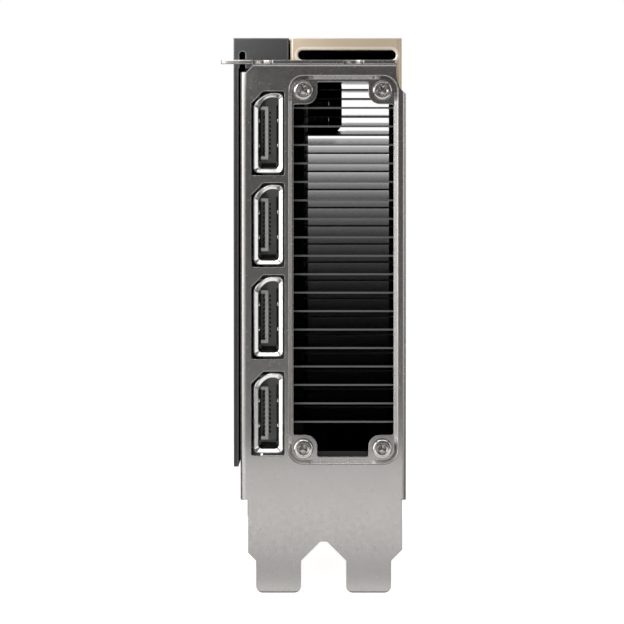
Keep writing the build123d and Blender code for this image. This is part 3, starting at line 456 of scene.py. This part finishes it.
FINISHES: tuple[Finish | BoardFinish | FinFinish, ...] = (
    Finish("nickel_steel", (0.60, 0.582, 0.565), (0.54, 0.523, 0.507), 1.0, 0.25, 0.03,
           patch_mm=7.0, relief=Relief.ROLLED, relief_mm=0.28, relief_depth_mm=0.002,
           edge_mm=0.22),
    Finish("screw_steel", (0.74, 0.72, 0.70), (0.66, 0.64, 0.62), 1.0, 0.22, 0.05,
           patch_mm=2.0, relief_mm=0.2, relief_depth_mm=0.003, edge_mm=0.06),
    Finish("shell_steel", (0.88, 0.88, 0.87), (0.82, 0.82, 0.81), 1.0, 0.16, 0.04,
           patch_mm=3.0, relief_mm=0.4, relief_depth_mm=0.002, edge_mm=0.05),
    Finish("port_plastic", (0.36, 0.36, 0.355), (0.29, 0.29, 0.285), 0.0, 0.45, 0.06,
           patch_mm=2.5, relief_mm=0.15, relief_depth_mm=0.01, edge_mm=0.05),
    Finish("contact_gold", (0.80, 0.60, 0.26), (0.70, 0.50, 0.20), 1.0, 0.24, 0.05,
           patch_mm=1.5, relief_mm=0.1, relief_depth_mm=0.001, edge_mm=0.02),
    BoardFinish(),
    Finish("substrate", (0.03, 0.12, 0.05), (0.02, 0.09, 0.04), 0.0, 0.4, 0.05, edge_mm=0.05),
    Finish("silicon", (0.07, 0.07, 0.09), (0.05, 0.05, 0.06), 0.0, 0.08, 0.03,
           relief_depth_mm=0.0005, edge_mm=0.02, coat=0.5),
    Finish("stiffener_steel", (0.60, 0.60, 0.60), (0.52, 0.52, 0.52), 1.0, 0.35, 0.05),
    Finish("chip_plastic", (0.035, 0.035, 0.036), (0.025, 0.025, 0.026), 0.0, 0.5, 0.06,
           patch_mm=3.0, relief_mm=0.12, relief_depth_mm=0.006, edge_mm=0.05),
    Finish("pad_silicone", (0.42, 0.48, 0.56), (0.36, 0.42, 0.50), 0.0, 0.7, 0.08,
           patch_mm=3.0, relief_mm=0.3, relief_depth_mm=0.02),
    Finish("inductor_ferrite", (0.11, 0.11, 0.12), (0.08, 0.08, 0.085), 0.0, 0.6, 0.08,
           patch_mm=1.5, relief_mm=0.15, relief_depth_mm=0.02),
    Finish("capacitor_case", (0.06, 0.06, 0.062), (0.045, 0.045, 0.046), 0.0, 0.45, 0.06,
           patch_mm=2.0, relief_mm=0.15, relief_depth_mm=0.006),
    Finish("heat_aluminium", (0.62, 0.62, 0.63), (0.54, 0.54, 0.55), 1.0, 0.36, 0.06,
           patch_mm=12.0, relief=Relief.ROLLED, relief_mm=0.5, relief_depth_mm=0.006,
           stretch=(1.0, 0.12, 1.0)),
    Finish("base_aluminium", (0.022, 0.022, 0.024), (0.016, 0.016, 0.017), 0.3, 0.5, 0.06,
           patch_mm=10.0, relief_mm=0.4, relief_depth_mm=0.004),
    FinFinish(),
    # Cover: pale edges and the slot band are painted highlights; the dark inside is painted shade.
    CoverFinish("cover_champagne", (0.74, 0.61, 0.455), (0.70, 0.57, 0.415), 0.35, 0.38, 0.03,
                patch_mm=25.0, relief_mm=0.18, relief_depth_mm=0.004, edge_mm=0.12,
                edge_highlight_mm=0.5, highlight_tint=(0.99, 0.90, 0.77)),
    # Frame: its pale edges are a painted highlight.
    Finish("frame_dark", (0.052, 0.052, 0.054), (0.040, 0.040, 0.042), 0.2, 0.5, 0.06,
           patch_mm=9.0, relief=Relief.ORANGE_PEEL, relief_mm=0.32, relief_depth_mm=0.03,
           edge_mm=0.3, edge_highlight_mm=0.6, highlight_tint=(0.17, 0.17, 0.175)),
    Finish("spring_steel", (0.48, 0.48, 0.48), (0.40, 0.40, 0.40), 1.0, 0.3, 0.05),
    Finish("dark_screw", (0.05, 0.05, 0.052), (0.035, 0.035, 0.036), 0.6, 0.35, 0.06,
           patch_mm=1.5, relief_mm=0.12, relief_depth_mm=0.004, edge_mm=0.04),
    Finish("power_plastic", (0.022, 0.022, 0.023), (0.016, 0.016, 0.017), 0.0, 0.42, 0.05,
           patch_mm=4.0, relief_mm=0.2, relief_depth_mm=0.008, edge_mm=0.08),
    Finish("pin_tin", (0.72, 0.71, 0.68), (0.62, 0.61, 0.58), 1.0, 0.28, 0.05,
           patch_mm=1.5, relief_mm=0.15, relief_depth_mm=0.003, edge_mm=0.03),
)


class Finishes:
    """All finishes of the card by the record's slot names."""

    def __init__(self) -> None:
        """Build every material once."""
        self.by_slot = {finish.name: finish.build() for finish in FINISHES}

    def dress_nodes(self) -> None:
        """Give every CAD node the finish of its slot."""
        slots = {part["node"]: part["material_slot"] for part in frame["record"]["subparts"]}
        for name, obj in frame["nodes"].items():
            for slot in obj.material_slots:
                slot.material = self.by_slot[slots[name]]
        log.info("dressed %d nodes in %d finishes", len(slots), len(self.by_slot))


# Modelling bench
class Bench:
    """Short ways to model one piece with Blender's own tools."""

    def __init__(self, finishes: Finishes) -> None:
        """Keep the finishes that pieces are dressed in."""
        self.finishes = finishes

    @staticmethod
    def clear() -> None:
        """Leave edit mode and select nothing."""
        if bpy.context.object and bpy.context.object.mode != "OBJECT":
            bpy.ops.object.mode_set(mode="OBJECT")
        bpy.ops.object.select_all(action="DESELECT")

    def place(self, name: str) -> bpy.types.Object:
        """Name the primitive just added and move its place into its mesh."""
        obj = bpy.context.object
        obj.name = obj.data.name = name
        bpy.ops.object.transform_apply(location=True, rotation=True, scale=True)
        return obj

    @contextmanager
    def edit(self, obj: bpy.types.Object) -> Iterable[None]:
        """Edit mode on one object, with nothing selected at the start."""
        self.clear()
        bpy.context.view_layer.objects.active = obj
        obj.select_set(True)
        bpy.ops.object.mode_set(mode="EDIT")
        bpy.ops.mesh.select_all(action="DESELECT")
        yield
        bpy.ops.object.mode_set(mode="OBJECT")

    @staticmethod
    def pick_faces(obj: bpy.types.Object, wanted: Callable[[bmesh.types.BMFace], bool]) -> None:
        """Select only the faces that pass a test, in edit mode."""
        bpy.ops.mesh.select_mode(type="FACE")
        bpy.ops.mesh.select_all(action="DESELECT")
        mesh = bmesh.from_edit_mesh(obj.data)
        for face in mesh.faces:
            face.select_set(wanted(face))
        bmesh.update_edit_mesh(obj.data)

    @staticmethod
    def pick_edges(obj: bpy.types.Object, wanted: Callable[[bmesh.types.BMEdge], bool]) -> None:
        """Select only the edges that pass a test, in edit mode."""
        bpy.ops.mesh.select_mode(type="EDGE")
        bpy.ops.mesh.select_all(action="DESELECT")
        mesh = bmesh.from_edit_mesh(obj.data)
        for edge in mesh.edges:
            edge.select_set(wanted(edge))
        bmesh.update_edit_mesh(obj.data)

    @staticmethod
    def pick_points(obj: bpy.types.Object, wanted: Callable[[bmesh.types.BMVert], bool]) -> None:
        """Select only the points that pass a test, in edit mode."""
        bpy.ops.mesh.select_mode(type="VERT")
        bpy.ops.mesh.select_all(action="DESELECT")
        mesh = bmesh.from_edit_mesh(obj.data)
        for point in mesh.verts:
            point.select_set(wanted(point))
        bmesh.update_edit_mesh(obj.data)

    def modify(self, obj: bpy.types.Object, kind: str, **values: object) -> None:
        """Add one modifier with its settings and apply it."""
        self.clear()
        bpy.context.view_layer.objects.active = obj
        obj.select_set(True)
        modifier = obj.modifiers.new(kind.lower(), kind)
        for key, value in values.items():
            setattr(modifier, key, value)
        bpy.ops.object.modifier_apply(modifier=modifier.name)

    def merge(self, target: bpy.types.Object, others: Iterable[bpy.types.Object]) -> None:
        """Join other objects into the target."""
        self.clear()
        for other in others:
            other.select_set(True)
        target.select_set(True)
        bpy.context.view_layer.objects.active = target
        bpy.ops.object.join()

    def copy(self, obj: bpy.types.Object, name: str, shift: tuple[float, ...]) -> bpy.types.Object:
        """Copy a finished piece with its own mesh, moved within that mesh."""
        self.clear()
        twin = obj.copy()
        twin.data = obj.data.copy()
        twin.name = twin.data.name = name
        bpy.context.collection.objects.link(twin)
        twin.location = Vector(twin.location) + Vector(shift)
        bpy.context.view_layer.objects.active = twin
        twin.select_set(True)
        bpy.ops.object.transform_apply(location=True, rotation=True, scale=True)
        return twin

    def outward(self, obj: bpy.types.Object) -> None:
        """Merge doubles and point every face outwards."""
        with self.edit(obj):
            bpy.ops.mesh.select_all(action="SELECT")
            bpy.ops.mesh.remove_doubles(threshold=0.001 * MM)
            bpy.ops.mesh.normals_make_consistent(inside=False)

    def smooth(self, obj: bpy.types.Object, degrees: float = 35.0) -> None:
        """Shade smooth up to an angle."""
        self.clear()
        bpy.context.view_layer.objects.active = obj
        obj.select_set(True)
        bpy.ops.object.shade_smooth_by_angle(angle=math.radians(degrees))

    def hand_over(self, obj: bpy.types.Object, slot: str, *nodes: str) -> None:
        """Dress a piece, fix it to the card's body and hide the nodes it stands for."""
        obj.data.materials.clear()
        obj.data.materials.append(self.finishes.by_slot[slot])
        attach(obj, ROOT)
        if nodes:
            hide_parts(*nodes)
        log.info("%s: %d faces", obj.name, len(obj.data.polygons))


# Display sockets
@dataclass
class DisplaySockets:
    """Sheet metal shells of the four display sockets, with rolled mouths."""

    bench: Bench
    x: float = -8.99
    rows: tuple[float, ...] = (-15.5, -36.15, -56.9, -78.65)
    opening: tuple[float, float] = (4.5, 15.9)
    wall: float = 0.35
    key: float = 2.7
    corner: float = 0.8
    throat_y: float = 7.85
    end_y: float = 19.0
    mouth: tuple[tuple[float, float], ...] = ((0.34, 0.04), (0.52, 0.14), (1.0, 0.8), (1.1, 0.95))
    leg: tuple[float, float] = (15.8, 17.4)
    board_x: float = -12.74

    def build(self) -> None:
        """Model one shell and copy it to every socket."""
        first = self.shell(self.rows[0])
        shells = [first]
        for number, z in enumerate(self.rows[1:], 2):
            shift = mm(0, 0, z - self.rows[0])
            shells.append(self.bench.copy(first, f"display_shell_{number}", shift))
        for number, shell in enumerate(shells, 1):
            self.bench.hand_over(shell, "shell_steel", f"port_shell_{number}")

    def shell(self, z: float) -> bpy.types.Object:
        """One shell: tube with a keyed corner, rolled mouth, grip fingers and legs."""
        bench = self.bench
        bench.clear()
        width, height = self.opening
        depth = self.end_y - self.throat_y
        middle = (self.end_y + self.throat_y) / 2
        bpy.ops.mesh.primitive_cube_add(
            size=1, location=mm(self.x, middle, z), scale=mm(width, depth, height)
        )
        tube = bench.place("display_shell_1")
        with bench.edit(tube):
            self.cut_corners(tube, z)
            bench.pick_faces(tube, lambda face: abs(face.normal.y) > 0.9)
            bpy.ops.mesh.delete(type="ONLY_FACE")
            self.roll_mouth(tube, z)
        bench.modify(tube, "SOLIDIFY", thickness=self.wall * MM, offset=1.0, use_even_offset=True)
        bench.modify(tube, "BEVEL", width=0.09 * MM, segments=2, limit_method="ANGLE",
                     angle_limit=math.radians(50))
        bench.merge(tube, [*self.fingers(z), *self.legs(z)])
        bench.smooth(tube, 40)
        bench.modify(tube, "WEIGHTED_NORMAL", weight=100, keep_sharp=True)
        return tube

    def cut_corners(self, tube: bpy.types.Object, z: float) -> None:
        """Chamfer the keyed corner and round the other three."""
        left, top = self.x * MM, z * MM

        def along(edge: bmesh.types.BMEdge, keyed: bool) -> bool:
            """Whether an edge runs along Y on the asked-for kind of corner."""
            a, b = edge.verts
            if abs(a.co.y - b.co.y) < MM:
                return False
            return (a.co.x < left and a.co.z > top) is keyed

        self.bench.pick_edges(tube, lambda edge: along(edge, False))
        bpy.ops.mesh.bevel(offset=self.corner * MM, segments=3)
        corner = (self.x - self.opening[0] / 2, z + self.opening[1] / 2)
        near = Vector(mm(corner[0], 0, corner[1]))

        def keyed(edge: bmesh.types.BMEdge) -> bool:
            """Whether an edge lies on the keyed corner itself."""
            flat = [Vector((p.co.x, 0, p.co.z)) for p in edge.verts]
            return all((p - near).length < 0.01 * MM for p in flat)

        self.bench.pick_edges(tube, keyed)
        bpy.ops.mesh.bevel(offset=self.key * MM, segments=5, profile=0.4)

    def roll_mouth(self, tube: bpy.types.Object, z: float) -> None:
        """Flare the front rim outwards along the mouth's profile."""
        centre = mm(self.x, self.throat_y, z)
        half = [value / 2 for value in self.opening]
        grown = 0.0
        pushed = 0.0
        front = self.throat_y * MM
        self.bench.pick_edges(
            tube, lambda edge: all(abs(p.co.y - front) < 0.01 * MM for p in edge.verts)
        )
        for push, grow in self.mouth:
            bpy.ops.mesh.extrude_region_move(
                TRANSFORM_OT_translate={"value": mm(0, pushed - push, 0)}
            )
            scale = [(side + grow) / (side + grown) for side in half]
            bpy.ops.transform.resize(value=(scale[0], 1, scale[1]), center_override=centre)
            grown, pushed = grow, push

    def fingers(self, z: float) -> list[bpy.types.Object]:
        """Four pressed grip fingers, two on each long wall."""
        pieces = []
        for hand in (-1, 1):
            for drop in (-2.8, 2.8):
                self.bench.clear()
                spot = mm(self.x + hand * (self.opening[0] / 2 - 0.08), 10.25, z + drop)
                bpy.ops.mesh.primitive_cube_add(size=1, location=spot, scale=mm(0.3, 2.4, 0.8))
                finger = self.bench.place("grip_finger")
                with self.bench.edit(finger):
                    self.bench.pick_faces(finger, lambda face: face.normal.x * hand < -0.9)
                    bpy.ops.mesh.inset(thickness=0.12 * MM)
                    bpy.ops.transform.translate(value=mm(-hand * 0.12, 0, 0))
                self.bench.modify(finger, "BEVEL", width=0.08 * MM, segments=2)
                pieces.append(finger)
        return pieces

    def legs(self, z: float) -> list[bpy.types.Object]:
        """Two legs that stand on the board."""
        pieces = []
        outer = self.opening[1] / 2 + self.wall / 2
        low, high = self.board_x, self.x
        for hand in (-1, 1):
            self.bench.clear()
            spot = mm((low + high) / 2, sum(self.leg) / 2, z + hand * outer)
            size = mm(high - low, self.leg[1] - self.leg[0], self.wall)
            bpy.ops.mesh.primitive_cube_add(size=1, location=spot, scale=size)
            leg = self.bench.place("shell_leg")
            with self.bench.edit(leg):
                self.bench.pick_faces(leg, lambda face: face.normal.x < -0.9)
                bpy.ops.transform.resize(value=(1, 0.7, 1))
            self.bench.modify(leg, "BEVEL", width=0.06 * MM, segments=2)
            pieces.append(leg)
        return pieces


@dataclass
class ChannelShadeBlocks:
    """Dark blocks standing proud of each socket's insert floor, painting the shade in the channels
    beside its blade and in the gaps around the insert.
    """

    bench: Bench
    rows: tuple[float, ...] = (-15.5, -36.15, -56.9, -78.65)
    columns: tuple[float, ...] = (-10.02, -8.74)
    count: int = 10
    pitch: float = 1.0
    channel: tuple[float, float] = (0.42, 0.55)
    floor_y: float = 14.5
    proud: float = 0.25
    # Dark blocks over the gaps around the insert: painted shade.
    shadow_gaps: tuple[tuple[float, float, float, float], ...] = (
        (-11.10, -10.80, -6.4, 5.0), (-7.25, -6.88, -6.6, 6.2), (-10.7, -7.3, -7.75, -6.85)
    )

    def build(self) -> None:
        """Model the shade blocks of one socket and copy them to the others."""
        first = self.socket(self.rows[0])
        sets = [first]
        for number, z in enumerate(self.rows[1:], 2):
            shift = mm(0, 0, z - self.rows[0])
            sets.append(self.bench.copy(first, f"channel_shade_blocks_{number}", shift))
        for channels in sets:
            self.bench.hand_over(channels, "power_plastic")

    def block(self, x: tuple[float, float], z: tuple[float, float]) -> bpy.types.Object:
        """One low block on the insert's floor."""
        self.bench.clear()
        spot = mm(sum(x) / 2, self.floor_y - self.proud / 2, sum(z) / 2)
        size = mm(x[1] - x[0], self.proud, z[1] - z[0])
        bpy.ops.mesh.primitive_cube_add(size=1, location=spot, scale=size)
        return self.bench.place("channel")

    def socket(self, z: float) -> bpy.types.Object:
        """All shade blocks of one socket, joined."""
        wide, tall = self.channel
        blocks = []
        for x in self.columns:
            for index in range(self.count):
                middle = z + (index - (self.count - 1) / 2) * self.pitch
                across = (x - wide / 2, x + wide / 2)
                blocks.append(self.block(across, (middle - tall / 2, middle + tall / 2)))
        for x0, x1, z0, z1 in self.shadow_gaps:
            blocks.append(self.block((x0, x1), (z + z0, z + z1)))
        self.bench.merge(blocks[0], blocks[1:])
        blocks[0].name = blocks[0].data.name = "channel_shade_blocks_1"
        return blocks[0]


# Screws
@dataclass
class PanScrews:
    """Pan head screws in the four pads of the bracket."""

    bench: Bench
    columns: tuple[float, ...] = (-1.12, 16.66)
    rows: tuple[float, ...] = (-5.9, -86.7)
    seat_y: float = 7.8
    head_r: float = 2.3
    head_h: float = 1.35
    shank_r: float = 1.2
    shank_end: float = 12.4
    sides: int = 24
    arm_r: float = 1.2
    notch_r: float = 0.46
    drive_depth: float = 0.85

    def build(self) -> None:
        """Model one screw, copy it to every pad and join the four."""
        spots = [(x, z) for x in self.columns for z in self.rows]
        first = self.screw(*spots[0])
        others = []
        for x, z in spots[1:]:
            shift = mm(x - spots[0][0], 0, z - spots[0][1])
            others.append(self.bench.copy(first, "pan_screw_copy", shift))
        self.bench.merge(first, others)
        self.bench.smooth(first, 40)
        self.bench.hand_over(first, "screw_steel", "bracket_screws")

    def screw(self, x: float, z: float) -> bpy.types.Object:
        """One screw: domed head with a cross recess, and a shank."""
        bench = self.bench
        bench.clear()
        front = self.seat_y - self.head_h
        bpy.ops.mesh.primitive_cylinder_add(
            vertices=self.sides, radius=self.head_r * MM, depth=self.head_h * MM,
            location=mm(x, self.seat_y - self.head_h / 2, z), rotation=(math.pi / 2, 0, 0)
        )
        head = bench.place("pan_screws")
        centre = mm(x, front, z)
        with bench.edit(head):
            bench.pick_faces(head, lambda face: face.normal.y < -0.9)
            bpy.ops.mesh.bevel(offset=0.75 * MM, segments=4, profile=0.55)
            bench.pick_faces(head, lambda face: face.normal.y < -0.99)
            bpy.ops.mesh.inset(thickness=0.25 * MM)
            self.cross(head, centre)
            bench.pick_faces(head, lambda face: face.normal.y > 0.9)
            bpy.ops.mesh.inset(thickness=(self.head_r - self.shank_r) * MM)
            bpy.ops.mesh.extrude_region_move(
                TRANSFORM_OT_translate={"value": mm(0, self.shank_end - self.seat_y, 0)}
            )
        bench.outward(head)
        return head

    def cross(self, head: bpy.types.Object, centre: tuple[float, ...]) -> None:
        """Turn the selected front face into a cross and sink it."""
        bpy.ops.mesh.inset(thickness=0.12 * MM)
        mesh = bmesh.from_edit_mesh(head.data)
        face = next(face for face in mesh.faces if face.select)
        for point in face.verts:
            off = Vector((point.co.x - centre[0], 0, point.co.z - centre[2]))
            angle = math.degrees(math.atan2(off.z, off.x)) % 90
            arm = min(angle, 90 - angle) < 20
            radius = self.arm_r if arm else self.notch_r
            off *= radius * MM / off.length
            point.co.x, point.co.z = centre[0] + off.x, centre[2] + off.z
        bmesh.update_edit_mesh(head.data)
        bpy.ops.mesh.extrude_region_move(
            TRANSFORM_OT_translate={"value": mm(0, self.drive_depth, 0)}
        )
        bpy.ops.transform.resize(value=(0.62, 1, 0.62), center_override=centre)


# Studio
@dataclass(frozen=True)
class Panel:
    """One soft rectangular lamp, seen in reflections but not by the camera."""

    name: str
    place: tuple[float, float, float]
    turn: tuple[float, float, float]
    size: tuple[float, float]
    level: float

    def build(self) -> None:
        """Add the lamp; a level of 1 makes its face white."""
        data = bpy.data.lights.new(self.name, "AREA")
        data.shape = "RECTANGLE"
        data.size, data.size_y = self.size
        data.energy = self.level * math.pi * self.size[0] * self.size[1]
        lamp = bpy.data.objects.new(self.name, data)
        lamp.location = self.place
        lamp.rotation_euler = [math.radians(angle) for angle in self.turn]
        lamp.visible_camera = False
        bpy.context.collection.objects.link(lamp)


PANELS = (
    Panel("left_panel", (-0.80, -0.26, 0.05), (0, -90, 0), (1.3, 0.50), 2.5),
    Panel("left_wing", (-0.62, -0.76, 0.05), (90, 0, -39), (0.55, 1.3), 0.9),
    Panel("right_strip", (0.85, -0.26, 0.05), (0, 90, 0), (1.2, 0.48), 0.98),
    Panel("top_panel", (0.0, -0.2, 0.85), (0, 0, 0), (1.2, 1.2), 1.2),
    Panel("low_card", (0.003, -0.018, -0.1197), (90, 0, 0), (0.12, 0.062), 0.36),
    Panel("toe_card", (0.003, -0.006, -0.1190), (180, 0, 0), (0.12, 0.024), 0.85),
    Panel("floor_card", (0.003, -0.18, -0.117), (180, 0, 0), (0.40, 0.20), 0.9),
    Panel("near_card", (-0.026, -0.016, 0.020), (75, 0, -45), (0.03, 0.04), 3.8),
)


@dataclass
class Studio:
    """White studio: floor, lamps, surroundings and the camera."""

    floor_z: float = -119.16
    floor_color: float = 0.82
    floor_in_metal: float = 0.16
    floor_glow: float = 0.72
    far_mm: float = 1500.0
    eye: tuple[float, float] = (7.1, -9.2)
    aim: tuple[float, float] = (0.82, -55.8)
    face_y: float = 7.0
    view_mm: float = 140.6
    sensor_mm: float = 36.0
    front_level: float = 0.10
    back_level: float = 1.0

    def build(self) -> None:
        """Set the whole studio up."""
        bpy.context.scene.view_settings.view_transform = "Standard"
        self.surroundings()
        self.floor()
        for panel in PANELS:
            panel.build()
        self.camera()

    def surroundings(self) -> None:
        """White behind the card and to the eye, grey on the eye's side."""
        world = bpy.data.worlds.new("studio")
        bpy.context.scene.world = world
        world.use_nodes = True
        nodes, links = world.node_tree.nodes, world.node_tree.links
        nodes.clear()
        place = nodes.new("ShaderNodeTexCoord")
        parts = nodes.new("ShaderNodeSeparateXYZ")
        ramp = nodes.new("ShaderNodeMapRange")
        ramp.interpolation_type = "SMOOTHSTEP"
        ramp.inputs["From Min"].default_value = -0.1
        ramp.inputs["From Max"].default_value = 0.75
        ramp.inputs["To Min"].default_value = self.front_level
        ramp.inputs["To Max"].default_value = self.back_level
        path = nodes.new("ShaderNodeLightPath")
        level = nodes.new("ShaderNodeMath")
        level.operation = "MAXIMUM"
        sky = nodes.new("ShaderNodeBackground")
        sky.inputs["Color"].default_value = (1.0, 1.0, 1.0, 1.0)
        out = nodes.new("ShaderNodeOutputWorld")
        links.new(place.outputs["Generated"], parts.inputs["Vector"])
        links.new(parts.outputs["Y"], ramp.inputs["Value"])
        links.new(ramp.outputs["Result"], level.inputs[0])
        links.new(path.outputs["Is Camera Ray"], level.inputs[1])
        links.new(level.outputs["Value"], sky.inputs["Strength"])
        links.new(sky.outputs["Background"], out.inputs["Surface"])

    def floor(self) -> None:
        """Pale floor that keeps a soft shadow and stays dim in polished metal."""
        Bench.clear()
        bpy.ops.mesh.primitive_plane_add(size=8, location=mm(0, 0, self.floor_z))
        plane = bpy.context.object
        plane.name = plane.data.name = "floor"
        bpy.ops.object.transform_apply(location=True, rotation=True, scale=True)
        desk = NodeDesk("floor_white")
        path = desk.add("LightPath")
        shade = desk.add("MapRange")
        shade.inputs["To Min"].default_value = self.floor_color
        shade.inputs["To Max"].default_value = self.floor_in_metal
        matt = desk.add("BsdfDiffuse")
        scaled = desk.add("Math", operation="MULTIPLY")
        scaled.inputs[1].default_value = self.floor_glow
        glow = desk.add("Emission")
        both = desk.add("AddShader")
        desk.join(path.outputs["Is Glossy Ray"], shade.inputs["Value"])
        desk.join(shade.outputs["Result"], matt.inputs["Color"])
        desk.join(path.outputs["Is Camera Ray"], scaled.inputs[0])
        desk.join(scaled.outputs["Value"], glow.inputs["Strength"])
        desk.join(matt.outputs["BSDF"], both.inputs[0])
        desk.join(glow.outputs["Emission"], both.inputs[1])
        desk.join(both.outputs["Shader"], desk.output.inputs["Surface"])
        plane.data.materials.append(desk.material)

    def camera(self) -> None:
        """Long lens straight at the bracket."""
        data = bpy.data.cameras.new("eye")
        camera = bpy.data.objects.new("eye", data)
        bpy.context.collection.objects.link(camera)
        eye = Vector(mm(self.eye[0], self.face_y - self.far_mm, self.eye[1]))
        aim = Vector(mm(self.aim[0], self.face_y, self.aim[1]))
        camera.location = eye
        camera.rotation_euler = (aim - eye).to_track_quat("-Z", "Y").to_euler()
        data.sensor_width = self.sensor_mm
        data.lens = self.sensor_mm * (aim - eye).length / (self.view_mm * MM)
        data.clip_start, data.clip_end = 0.05, 30.0
        bpy.context.scene.camera = camera


def main() -> None:
    """Build the card's looks piece by piece."""
    finishes = Finishes()
    finishes.dress_nodes()
    bench = Bench(finishes)
    for part in (DisplaySockets(bench), ChannelShadeBlocks(bench), PanScrews(bench)):
        part.build()
        log.info("built %s", type(part).__name__)
    Studio().build()


if __name__ == "__main__":
    logging.basicConfig(level=logging.INFO)
    main()
